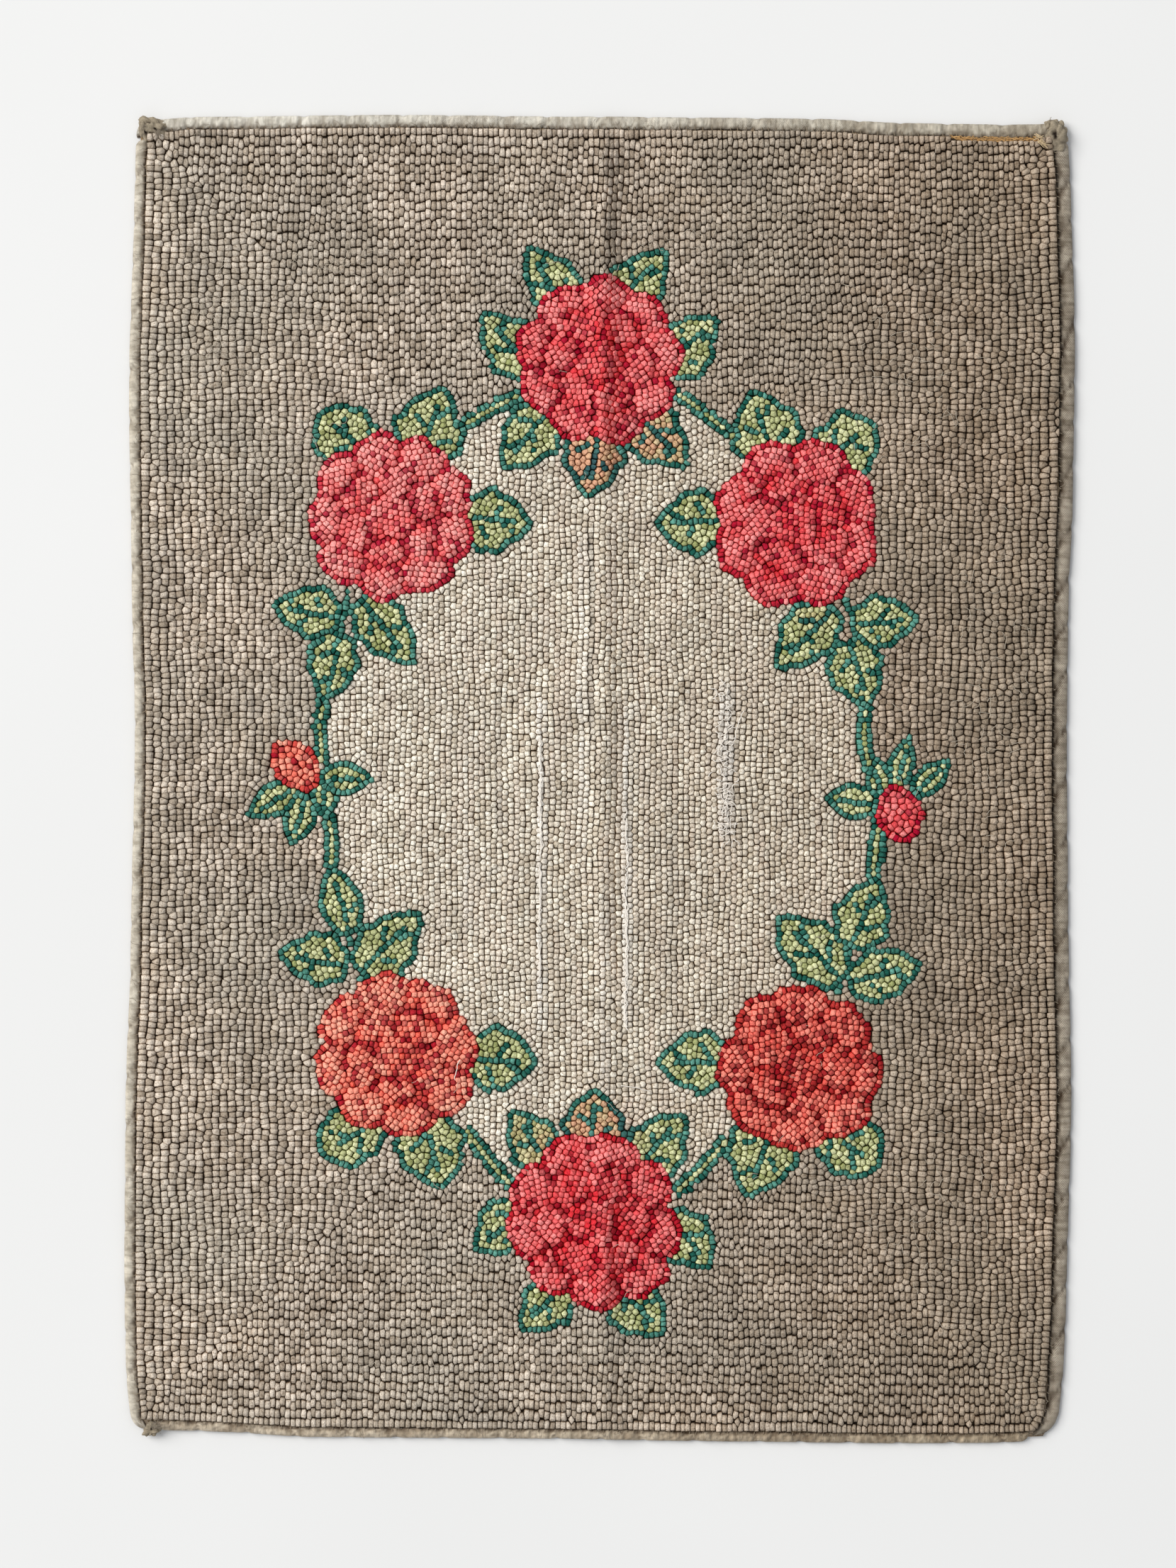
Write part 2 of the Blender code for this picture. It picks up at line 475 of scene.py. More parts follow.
@dataclass(frozen=True)
class TapeCloth:
    """Cotton binding tape: close twill, worn pale on its ridge and grubby at its stitches, with
    painted shade in its pucker valleys, at its pinches and under its fold, and painted light and
    shade along its creases.
    """

    name: str
    pale: Colour
    worn: Colour
    # The grime colour also paints the shade in the tape's pucker valleys, at its pinches and under
    # its fold.
    grime_and_shade: Colour
    twill: float = 900.0
    skew: float = 0.0

    def material(self) -> bpy.types.Material:
        """Build the twill in the tape's own lengthwise coordinates.

        Returns:
            The material.
        """
        nodes = Nodes(self.name)
        uv = nodes.add("ShaderNodeUVMap", uv_map="tape").outputs["UV"]
        turned = nodes.add("ShaderNodeMapping")
        turned.inputs["Rotation"].default_value = (0.0, 0.0, math.radians(52))
        nodes.join(uv, turned.inputs["Vector"])
        twill = nodes.wave(turned.outputs["Vector"], self.twill, 0.6)
        place = nodes.place()
        # This value is high where the cloth is worn, and low where it is grubby and where shade is
        # painted in.
        _, ridge = nodes.attribute("wear_and_shade")
        patches = nodes.steps(nodes.noise(place, 55.0, 4.0, 0.6),
                              [(0.35, self.worn), (0.62, self.pale)])
        colour = nodes.mix("MIX", patches, self.pale, 0.25)
        # The twill's lines: partly the weave's pattern, partly painted shade in its grooves and a
        # faint painted highlight on its ribs.
        twill_rib_shading = nodes.steps(twill, [(0.0, (0.72, 0.71, 0.70)), (0.7, (1.06, 1.06, 1.06))])
        colour = nodes.mix("MULTIPLY", colour, twill_rib_shading, 0.8)
        fuzz = nodes.steps(nodes.noise(place, 1500.0, 2.0, 0.7),
                           [(0.3, (0.82, 0.82, 0.81)), (0.7, (1.12, 1.12, 1.12))])
        colour = nodes.mix("MULTIPLY", colour, fuzz, 0.8)
        drawn = nodes.add("ShaderNodeMapping")
        drawn.inputs["Scale"].default_value = (260.0, 40.0, 1.0)
        drawn.inputs["Rotation"].default_value = (0.0, 0.0, self.skew)
        nodes.join(uv, drawn.inputs["Vector"])
        creases = nodes.noise(drawn.outputs["Vector"], 1.0, 3.0, 0.55)
        # Painted light and shade following the creases' relief: paler on their raised bands, darker
        # in their hollows.
        painted_crease_light = nodes.steps(creases, [(0.34, (0.68, 0.66, 0.63)), (0.50, (0.97, 0.97, 0.97)),
                                        (0.66, (1.16, 1.16, 1.16))])
        colour = nodes.mix("MULTIPLY", colour, painted_crease_light, 1.0)
        nodes.bump(creases, 0.0022, 0.7)
        # Grime near the stitches, and painted shade in the pucker valleys, at the pinches and under
        # the fold.
        grime_and_shade_share = nodes.steps(ridge, [(0.05, (1, 1, 1)), (0.85, (0, 0, 0))])
        colour = nodes.mix("MIX", colour, self.grime_and_shade, grime_and_shade_share)
        aged = nodes.steps(nodes.across(-0.20, 0.34), [(0.0, (1.0, 1.0, 1.0)),
                                                      (1.0, (0.66, 0.62, 0.56))])
        colour = nodes.mix("MULTIPLY", colour, aged, 1.0)
        nodes.bump(twill, 0.0004, 0.7)
        nodes.bump(nodes.noise(place, 900.0, 3.0, 0.7), 0.0005, 0.5)
        return nodes.finish(colour, 0.9, 0.08)


@dataclass(frozen=True)
class SewingThread:
    """Twisted thread or loose fibre."""

    name: str
    pale: Colour
    deep: Colour

    def material(self) -> bpy.types.Material:
        """Build a thread with its twist.

        Returns:
            The material.
        """
        nodes = Nodes(self.name)
        place = nodes.place((1.0, 1.0, 1.0), math.radians(35))
        twist = nodes.wave(place, 600.0, 2.0)
        # The twist's stripes: partly the plies' pattern, partly painted shade in the grooves of the
        # twist bump below.
        colour = nodes.steps(twist, [(0.15, self.deep), (0.8, self.pale)])
        nodes.bump(twist, 0.0002, 0.6)
        return nodes.finish(colour, 0.85, 0.1)


@dataclass(frozen=True)
class PaleFloor:
    """A plain matt floor."""

    name: str = "pale_floor"

    def material(self) -> bpy.types.Material:
        """Build the floor's faintly uneven paint.

        Returns:
            The material.
        """
        nodes = Nodes(self.name)
        colour = nodes.steps(nodes.noise(nodes.place(), 2.0, 2.0),
                             [(0.3, (0.80, 0.795, 0.785)), (0.7, (0.82, 0.815, 0.805))])
        return nodes.finish(colour, 0.9)


# ---- the rug's shape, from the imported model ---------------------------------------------
class EdgeLine:
    """One binding tape's run: its outer edge, its inner edge on the face, and its lift."""

    SAME_STATION = 0.0005
    ON_FACE = 0.0045

    def __init__(self, edge: Edge) -> None:
        """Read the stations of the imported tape.

        Args:
            edge: one edge of the rug.
        """
        self.edge = edge
        self.node = f"binding_{edge.value}"
        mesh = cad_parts[self.node].data
        points = np.array([tuple(v.co) for v in mesh.vertices])
        along, across = (points[:, 1], points[:, 0]) if edge.upright else (points[:, 0],
                                                                           points[:, 1])
        out = across * edge.outward
        order = np.argsort(along)
        breaks = np.nonzero(np.diff(along[order]) > self.SAME_STATION)[0] + 1
        rows = []
        for picked in np.split(order, breaks):
            low = points[picked, 2].min()
            face = picked[points[picked, 2] > low + self.ON_FACE]
            if len(face):
                rows.append((along[picked].mean(), out[picked].max(), out[face].min(), low))
        self.table = np.array(rows)

    def span(self) -> tuple[float, float]:
        """Where the tape starts and stops along its edge."""
        return self.table[0, 0], self.table[-1, 0]

    def outer(self, along: Number) -> Number:
        """Place of the outer edge, counted outward."""
        return np.interp(along, self.table[:, 0], self.table[:, 1])

    def face(self, along: Number) -> Number:
        """Place of the tape's inner edge on the face, counted outward."""
        return np.interp(along, self.table[:, 0], self.table[:, 2])

    def lift(self, along: Number) -> Number:
        """Height of the tape's underside over the surface."""
        return np.interp(along, self.table[:, 0], self.table[:, 3])

    def width(self) -> float:
        """The tape's usual width on the face."""
        return float(np.median(self.table[:, 1] - self.table[:, 2]))

    def place(self, along: float, inward: float) -> Point:
        """Plan position a distance inward from the outer edge."""
        across = (self.outer(along) - inward) * self.edge.outward
        return (across, along) if self.edge.upright else (along, across)

    def depth(self, x: float, y: float) -> float:
        """Distance inward of a place from the tape's inner edge on the face."""
        along, across = (y, x) if self.edge.upright else (x, y)
        return float(self.face(along)) - across * self.edge.outward


class RugShape:
    """Heights and edges of the rug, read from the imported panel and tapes."""

    PILE = 0.0080
    SKY = 0.1
    BARE = 0.0015
    CLEAR = 0.0003
    SEAM_START, SEAM_END, SEAM_CLEAR = 0.262, 0.331, 0.0031

    def __init__(self) -> None:
        """Gather the panel's surface and the four edges."""
        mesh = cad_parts["hooked_panel"].data
        self.tree = BVHTree.FromPolygons([v.co for v in mesh.vertices],
                                         [p.vertices for p in mesh.polygons])
        self.edges = {edge: EdgeLine(edge) for edge in Edge}
        low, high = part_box("hooked_panel")
        self.low, self.high = Vector(low), Vector(high)

    def underside(self, x: float, y: float) -> float:
        """Height of the panel's underside."""
        hit = self.tree.ray_cast(Vector((x, y, -self.SKY)), Vector((0, 0, 1)))[0]
        return hit.z if hit else self.BARE

    def seam(self, xs: Number) -> np.ndarray:
        """How far the pile keeps off the top tape where its seam has opened."""
        return np.where((xs > self.SEAM_START) & (xs < self.SEAM_END), self.SEAM_CLEAR, 0.0)

    def pile(self, xs: np.ndarray, ys: np.ndarray) -> np.ndarray:
        """Which cells of a grid the pile fills: inside the tapes and clear of the open seam.

        Args:
            xs: places along X.
            ys: places along Y.

        Returns:
            True for each cell that the pile fills.
        """
        sides, ends = self.edges, (Edge.TOP, Edge.BOTTOM)
        seam = self.seam(xs)
        across = [(sides[e].face(xs) - self.CLEAR - (seam if e is Edge.TOP else 0.0),
                   e.outward) for e in ends]
        upright = [(sides[e].face(ys) - self.CLEAR, e.outward) for e in (Edge.LEFT, Edge.RIGHT)]
        result = np.ones((len(ys), len(xs)), dtype=bool)
        for limit, outward in across:
            result &= (ys[:, None] * outward) < limit[None, :]
        for limit, outward in upright:
            result &= (xs[None, :] * outward) < limit[:, None]
        return result

    def nearest_edge(self, x: float, y: float) -> tuple[Edge, float]:
        """The edge whose tape is nearest, and how far in from it the place is.

        Args:
            x: the place.
            y: the place.

        Returns:
            The edge and the distance in from its tape.
        """
        depths = [(line.depth(x, y), index) for index, line in enumerate(self.edges.values())]
        depth, index = min(depths)
        return list(self.edges)[index], depth


# ---- the design -------------------------------------------------------------------------
@dataclass(frozen=True)
class RoseDye:
    """The reds of one rose."""

    light: Colour
    deep: Colour
    fleck: Colour
    tweed: float
    edging: float


@dataclass(frozen=True)
class Rose:
    """One rose: petals in rings round a close heart, with a darker crimped rim."""

    name: str
    x: float
    y: float
    radius: float
    petals: int
    turn: float
    dye: RoseDye

    OUTER, INNER = 0.62, 0.30
    FOLD, GAP = 0.0023, 0.0021

    def reach(self, angle: float) -> float:
        """Distance from the middle to the scalloped rim.

        Args:
            angle: heading from the middle.

        Returns:
            The distance.
        """
        lobe = abs(math.cos(self.petals * (angle - self.turn) / 2)) ** 0.62
        crimp = drift(math.cos(angle) * 5.0, math.sin(angle) * 5.0, 1.0, self.x * 90)
        wide = drift(math.cos(angle), math.sin(angle), 1.0, self.y * 70)
        return self.radius * (0.862 + 0.135 * lobe + 0.060 * crimp + 0.07 * wide)

    def ring(self, angle: float, part: float, petals: int) -> float:
        """Distance from the middle to an inner ring of petal tips.

        Args:
            angle: heading from the middle.
            part: part of the length or radius, from 0 to 1.
            petals: petals in the ring.

        Returns:
            The distance.
        """
        lobe = abs(math.cos(petals * (angle - self.inner_turn) / 2)) ** 0.7
        sway = drift(math.cos(angle) * 1.5, math.sin(angle) * 1.5, 1.0, part * 40 + self.x * 30)
        return self.radius * part * (0.86 + 0.16 * lobe + 0.16 * sway)

    def crease(self, x: float, y: float) -> float:
        """How deep a place is in the folds between petals, from 0 to 1.

        Args:
            x: the place.
            y: the place.

        Returns:
            The depth.
        """
        out = math.hypot(x - self.x, y - self.y)
        angle = math.atan2(y - self.y, x - self.x)
        deepest = 0.0
        outer, inner = (self.ring(angle, self.OUTER, self.inner),
                        self.ring(angle, self.INNER, 3))
        for line, strength in ((outer, 1.0), (inner, 0.9)):
            broken = 0.55 + 0.45 * math.sin(angle * 3 + self.turn * 5 + line * 300)
            deepest = max(deepest, strength * broken * math.exp(-((out - line) / self.FOLD) ** 2))
        for count, start, end, phase in ((self.petals, outer, 1.0, self.turn),
                                         (self.inner, inner, outer, self.inner_turn)):
            step = math.tau / count
            spread = (angle - phase + step / 2) % step
            gap = min(spread, step - spread) * out
            which = int((angle - phase + step / 2) // step)
            strength = 0.45 + 0.55 * abs(math.sin(which * 12.9 + self.x * 50))
            if start - 0.002 < out < (self.radius if end == 1.0 else end):
                deepest = max(deepest, strength * math.exp(-(gap / self.GAP) ** 2))
        return deepest

    @property
    def inner(self) -> int:
        """Number of petals in the inner ring."""
        return self.petals - 3

    @property
    def inner_turn(self) -> float:
        """Heading of the first petal in the inner ring."""
        return -self.turn * 1.7

    def rim(self, angles: list[float] | np.ndarray, grown: float) -> list[Point]:
        """Closed line round the rose, grown outward by a distance."""
        return [(self.x + (self.reach(a) + grown) * math.cos(a),
                 self.y + (self.reach(a) + grown) * math.sin(a)) for a in angles]

    def petal(self, angle: float, count: int, phase: float) -> tuple[int, float]:
        """Which petal of a ring an angle falls in, and the heading of that petal."""
        which = round((angle - phase) / math.tau * count)
        return which % count, phase + math.tau * which / count

    def puff(self, x: float, y: float) -> float:
        """Height of a petal's swell over the plain pile.

        Args:
            x: the place.
            y: the place.

        Returns:
            The height.
        """
        out = math.hypot(x - self.x, y - self.y)
        edge = self.reach(math.atan2(y - self.y, x - self.x))
        fall = min(1.0, max(0.0, (edge - out) / 0.009))
        lumps = drift(x, y, 0.010, 3.3)
        return fall * (0.0018 + 0.0018 * lumps - 0.0026 * self.crease(x, y))


@dataclass(frozen=True)
class Leaf:
    """One leaf: a lobed outline and veins in teal round a yellow-green field."""

    base: Point
    tip: Point
    width: float
    form: LeafForm = LeafForm.POINTED
    blush: float = 0.0
    veins: int = 3

    def axis(self) -> tuple[Vector, Vector, float]:
        """Direction along the leaf, direction across it, and its length.

        Returns:
            Both directions and the length.
        """
        span = Vector(self.tip) - Vector(self.base)
        along = span.normalized()
        return along, Vector((-along.y, along.x)), span.length

    def half_width(self, part: float, side: int) -> float:
        """Half width at a part of the length, with lobes along the edge.

        Args:
            part: part of the length or radius, from 0 to 1.
            side: 1 or -1, for the two sides.

        Returns:
            Half the width there.
        """
        belly, shoulder, lobes = self.form.value
        if part < belly:
            swell = math.sin(math.pi / 2 * (0.22 + 0.78 * part / belly)) ** 0.8
        else:
            t = (part - belly) / (1 - belly)
            swell = max(0.0, 1 - t ** (1.25 / shoulder)) ** 0.85
        if lobes and 0.0 < part < 1.0:
            tooth = (lobes * (part + 0.07 * side) + 0.3) % 1.0
            swell *= 0.86 + 0.26 * tooth
        wander = drift(part * 3, side * 2.0, 1.0, self.base[0] * 60 + self.base[1] * 37)
        return self.width / 2 * swell * (1 + 0.10 * wander)

    def outline(self) -> list[Point]:
        """Middle line of the teal row, base to tip and back.

        Returns:
            The line's points.
        """
        along, across, length = self.axis()
        parts = [0.0, 0.08, 0.18, 0.29, 0.40, 0.50, 0.60, 0.70, 0.79, 0.87, 0.94]
        out = []
        for side, order in ((1, parts), (-1, parts[::-1])):
            for part in order:
                point = Vector(self.base) + along * length * part
                point += across * side * self.half_width(part, side)
                out.append((point.x, point.y))
            if side == 1:
                out.append(self.tip)
        return out

    def vein_lines(self) -> list[list[Point]]:
        """The midrib and its side veins.

        Returns:
            The points of each line.
        """
        along, across, length = self.axis()
        bend = drift(self.base[0], self.base[1], 0.02) * 0.0035

        def at(part: float, off: float) -> Point:
            """A place by its part of the length and distance across.

            Args:
                part: part of the length or radius, from 0 to 1.
                off: distance across the leaf.

            Returns:
                The place.
            """
            point = Vector(self.base) + along * length * part
            point += across * (off + bend * math.sin(math.pi * part))
            return point.x, point.y

        lines = [[at(0.02, 0.0), at(0.35, 0.0), at(0.74, 0.0)]]
        for index in range(self.veins):
            side = 1 if index % 2 else -1
            start = 0.24 + 0.19 * index
            far = side * self.half_width(min(0.9, start + 0.2), side) * 0.62
            lines.append([at(start, side * 0.003), at(start + 0.13, far)])
        return lines


@dataclass(frozen=True)
class Stem:
    """A stalk: two teal rows with yellow-green loops between them, or one row if slim."""

    points: tuple[Point, ...]
    width: float = 0.0105

    def rows(self) -> list[list[Point]]:
        """Middle lines of the teal rows.

        Returns:
            The points of each row.
        """
        line = smooth_line(list(self.points), 0.004, False)
        if self.width < 0.007:
            return [line]
        rows = ([], [])
        for index, (x, y) in enumerate(line):
            ahead = Vector(line[min(index + 1, len(line) - 1)])
            behind = Vector(line[max(index - 1, 0)])
            along = (ahead - behind).normalized()
            for row, side in zip(rows, (1, -1)):
                off = side * (self.width - 0.004) / 2
                row.append((x - along.y * off, y + along.x * off))
        return list(rows)

    def outline(self) -> list[Point]:
        """Closed line round the stalk."""
        rows = self.rows()
        return rows[0] + rows[-1][::-1] if len(rows) > 1 else []


@dataclass(frozen=True)
class Bud:
    """A rosebud: a small leaning oval."""

    x: float
    y: float
    half_width: float
    half_length: float
    turn: float

    def outline(self) -> list[Point]:
        """Closed line round the bud.

        Returns:
            The line's points.
        """
        out = []
        for step in range(18):
            angle = math.tau * step / 18
            square = 1 / (abs(math.cos(angle)) ** 1.5 + abs(math.sin(angle)) ** 1.5) ** (1 / 1.5)
            u = math.cos(angle) * self.half_width * square
            v = math.sin(angle) * self.half_length * square
            out.append((self.x + u * math.cos(self.turn) - v * math.sin(self.turn),
                        self.y + u * math.sin(self.turn) + v * math.cos(self.turn)))
        return out


PINK_RED = RoseDye(linear(255, 156, 154), linear(232, 66, 74), linear(168, 8, 46), 0.12, 0.60)
SOFT_PINK = RoseDye(linear(255, 176, 170), linear(244, 98, 100), linear(178, 14, 54), 0.09, 0.85)
STRONG_RED = RoseDye(linear(255, 150, 148), linear(230, 54, 64), linear(160, 6, 34), 0.14, 0.50)
ORANGE_TWEED = RoseDye(linear(255, 184, 160), linear(248, 108, 90), linear(172, 20, 44), 0.20, 0.60)
BRICK_TWEED = RoseDye(linear(255, 156, 138), linear(224, 82, 72), linear(152, 12, 30), 0.24, 0.70)

ROSES = (
    Rose("top", 0.000, 0.313, 0.063, 9, 0.10, PINK_RED),
    Rose("upper_left", -0.156, 0.196, 0.064, 9, 0.38, SOFT_PINK),
    Rose("upper_right", 0.147, 0.191, 0.064, 8, 0.42, PINK_RED),
    Rose("lower_left", -0.152, -0.207, 0.061, 8, 0.20, ORANGE_TWEED),
    Rose("lower_right", 0.150, -0.216, 0.062, 8, 0.75, BRICK_TWEED),
    Rose("bottom", -0.005, -0.331, 0.066, 9, 0.55, STRONG_RED),
)

POINTED, SHIELD, SLIM = LeafForm.POINTED, LeafForm.SHIELD, LeafForm.SLIM

LEAVES = (
    # round the top rose
    Leaf((-0.022, 0.350), (-0.053, 0.397), 0.037),
    Leaf((0.010, 0.350), (0.049, 0.394), 0.040),
    Leaf((0.048, 0.306), (0.086, 0.345), 0.042),
    Leaf((-0.048, 0.304), (-0.087, 0.347), 0.042),
    Leaf((-0.036, 0.276), (-0.071, 0.233), 0.042),
    Leaf((0.000, 0.262), (-0.009, 0.212), 0.043, POINTED, 0.85),
    Leaf((0.026, 0.274), (0.064, 0.235), 0.041, POINTED, 0.55),
    # round the upper left rose, and the spray under it
    Leaf((-0.164, 0.236), (-0.210, 0.271), 0.044, SHIELD),
    Leaf((-0.136, 0.238), (-0.117, 0.292), 0.052),
    Leaf((-0.102, 0.196), (-0.052, 0.190), 0.046),
    Leaf((-0.196, 0.121), (-0.243, 0.130), 0.036),
    Leaf((-0.178, 0.133), (-0.140, 0.087), 0.038),
    Leaf((-0.194, 0.107), (-0.206, 0.060), 0.036),
    # round the upper right rose, and the spray under it
    Leaf((0.131, 0.236), (0.114, 0.289), 0.052),
    Leaf((0.158, 0.230), (0.204, 0.265), 0.045, SHIELD),
    Leaf((0.092, 0.193), (0.043, 0.191), 0.046),
    Leaf((0.174, 0.127), (0.133, 0.084), 0.041),
    Leaf((0.190, 0.116), (0.237, 0.120), 0.038),
    Leaf((0.186, 0.102), (0.200, 0.055), 0.040),
    # the left bud's leaves, and the spray under its stalk
    Leaf((-0.207, 0.001), (-0.171, 0.000), 0.022, SLIM, 0.0, 0),
    Leaf((-0.206, -0.002), (-0.205, -0.028), 0.017, SLIM, 0.0, 0),
    Leaf((-0.228, -0.006), (-0.262, -0.027), 0.022, SLIM, 0.0, 0),
    Leaf((-0.220, -0.014), (-0.230, -0.048), 0.022, SLIM, 0.0, 0),
    Leaf((-0.187, -0.114), (-0.201, -0.066), 0.030, SLIM, 0.0, 1),
    Leaf((-0.178, -0.143), (-0.135, -0.101), 0.042),
    Leaf((-0.190, -0.139), (-0.238, -0.130), 0.038),
    # the right bud's leaves, and the spray under its stalk
    Leaf((0.210, -0.012), (0.208, 0.014), 0.017, SLIM, 0.0, 0),
    Leaf((0.222, -0.004), (0.231, 0.030), 0.017, SLIM, 0.0, 0),
    Leaf((0.236, -0.010), (0.261, 0.013), 0.018, SLIM, 0.0, 0),
    Leaf((0.206, -0.019), (0.170, -0.014), 0.024, SLIM, 0.0, 0),
    Leaf((0.188, -0.124), (0.207, -0.075), 0.040),
    Leaf((0.180, -0.149), (0.134, -0.104), 0.044),
    Leaf((0.188, -0.152), (0.239, -0.138), 0.038),
    # round the lower left rose
    Leaf((-0.098, -0.208), (-0.048, -0.211), 0.048),
    Leaf((-0.160, -0.250), (-0.207, -0.280), 0.042, SHIELD),
    Leaf((-0.131, -0.254), (-0.118, -0.305), 0.052),
    # round the lower right rose
    Leaf((0.095, -0.212), (0.044, -0.212), 0.045),
    Leaf((0.130, -0.256), (0.110, -0.311), 0.052),
    Leaf((0.164, -0.256), (0.208, -0.289), 0.044, SHIELD),
    # round the bottom rose
    Leaf((-0.036, -0.292), (-0.065, -0.249), 0.038, POINTED, 0.25),
    Leaf((-0.006, -0.276), (-0.003, -0.233), 0.044, POINTED, 0.70),
    Leaf((0.028, -0.293), (0.063, -0.252), 0.042),
    Leaf((-0.056, -0.322), (-0.092, -0.352), 0.040),
    Leaf((0.052, -0.328), (0.082, -0.364), 0.040),
    Leaf((-0.024, -0.378), (-0.058, -0.411), 0.038),
    Leaf((0.012, -0.380), (0.047, -0.414), 0.042),
)

STEMS = (
    Stem(((-0.050, 0.292), (-0.076, 0.279), (-0.106, 0.262)), 0.0100),
    Stem(((0.048, 0.294), (0.074, 0.277), (0.100, 0.256)), 0.0100),
    Stem(((-0.188, 0.140), (-0.192, 0.118), (-0.197, 0.100)), 0.0050),
    Stem(((0.184, 0.134), (0.188, 0.116), (0.190, 0.100)), 0.0050),
    Stem(((-0.206, 0.066), (-0.209, 0.040), (-0.207, 0.012)), 0.0105),
    Stem(((0.200, 0.060), (0.198, 0.030), (0.203, 0.004), (0.208, -0.014)), 0.0105),
    Stem(((-0.204, -0.024), (-0.200, -0.046), (-0.201, -0.068)), 0.0105),
    Stem(((-0.188, -0.112), (-0.185, -0.130), (-0.178, -0.150)), 0.0050),
    Stem(((0.209, -0.032), (0.206, -0.056), (0.204, -0.080)), 0.0115),
    Stem(((0.188, -0.122), (0.185, -0.142), (0.178, -0.158)), 0.0050),
    Stem(((-0.100, -0.262), (-0.080, -0.288), (-0.062, -0.308)), 0.0105),
    Stem(((0.094, -0.270), (0.078, -0.290), (0.058, -0.308)), 0.0110),
)

BUDS = (
    (Bud(-0.227, 0.010, 0.015, 0.021, 0.70), ORANGE_TWEED),
    (Bud(0.224, -0.026, 0.016, 0.021, 0.25), PINK_RED),
)

MEDALLION = (
    (0.000, 0.300), (-0.062, 0.285), (-0.104, 0.258), (-0.148, 0.200), (-0.176, 0.122),
    (-0.205, 0.060), (-0.207, 0.012), (-0.203, -0.022), (-0.200, -0.064), (-0.186, -0.110),
    (-0.170, -0.150), (-0.146, -0.200), (-0.112, -0.262), (-0.086, -0.272), (-0.062, -0.306),
    (0.000, -0.330), (0.058, -0.308), (0.092, -0.272), (0.120, -0.250), (0.150, -0.206),
    (0.176, -0.152), (0.192, -0.110), (0.204, -0.064), (0.209, -0.030), (0.203, 0.006),
    (0.199, 0.056), (0.176, 0.118), (0.148, 0.190), (0.100, 0.256), (0.058, 0.288),
)


class Design:
    """The pattern as regions on a fine grid of the rug's plan."""

    GROUND, IVORY, LEAF, ROSE, BUD, STEM = 0, 1, 100, 200, 300, 400

    def __init__(self, shape: RugShape, step: float) -> None:
        """Draw every shape of the pattern into the grid.

        Args:
            shape: the rug's edges and heights.
            step: the grid's cell size.
        """
        self.step = step
        self.x0, self.y0 = shape.low.x, shape.low.y
        self.columns = int((shape.high.x - shape.low.x) / step) + 2
        self.rows = int((shape.high.y - shape.low.y) / step) + 2
        self.xs = self.x0 + np.arange(self.columns) * step
        self.ys = self.y0 + np.arange(self.rows) * step
        self.grid_x, self.grid_y = np.meshgrid(self.xs, self.ys)
        self.region = np.zeros(self.grid_x.shape, dtype=np.int16)
        self.paint(smooth_line(list(MEDALLION), 0.006, True), self.IVORY)
        for stem in STEMS:
            if stem.outline():
                self.paint(stem.outline(), self.STEM)
        for index, leaf in enumerate(LEAVES):
            self.paint(leaf.outline(), self.LEAF + index)
        for index, (bud, _dye) in enumerate(BUDS):
            self.paint(bud.outline(), self.BUD + index)
        for index, rose in enumerate(ROSES):
            angles = np.linspace(0, math.tau, 144, endpoint=False)
            self.paint(rose.rim(angles, 0.0), self.ROSE + index)

    def paint(self, polygon: list[Point], value: int) -> None:
        """Give a closed shape's cells their region.

        Args:
            polygon: corners of the closed shape.
            value: the region's number.
        """
        xs, ys = [p[0] for p in polygon], [p[1] for p in polygon]
        c0, c1 = self.cell(min(xs), min(ys)), self.cell(max(xs), max(ys))
        part = (slice(c0[1], c1[1] + 2), slice(c0[0], c1[0] + 2))
        mask = inside(polygon, self.grid_x[part], self.grid_y[part])
        self.region[part][mask] = value

    def cell(self, x: float, y: float) -> tuple[int, int]:
        """Column and row of the grid at a place."""
        column = min(self.columns - 1, max(0, round((x - self.x0) / self.step)))
        return column, min(self.rows - 1, max(0, round((y - self.y0) / self.step)))

    def at(self, x: float, y: float) -> int:
        """Region at a place."""
        column, row = self.cell(x, y)
        return int(self.region[row, column])


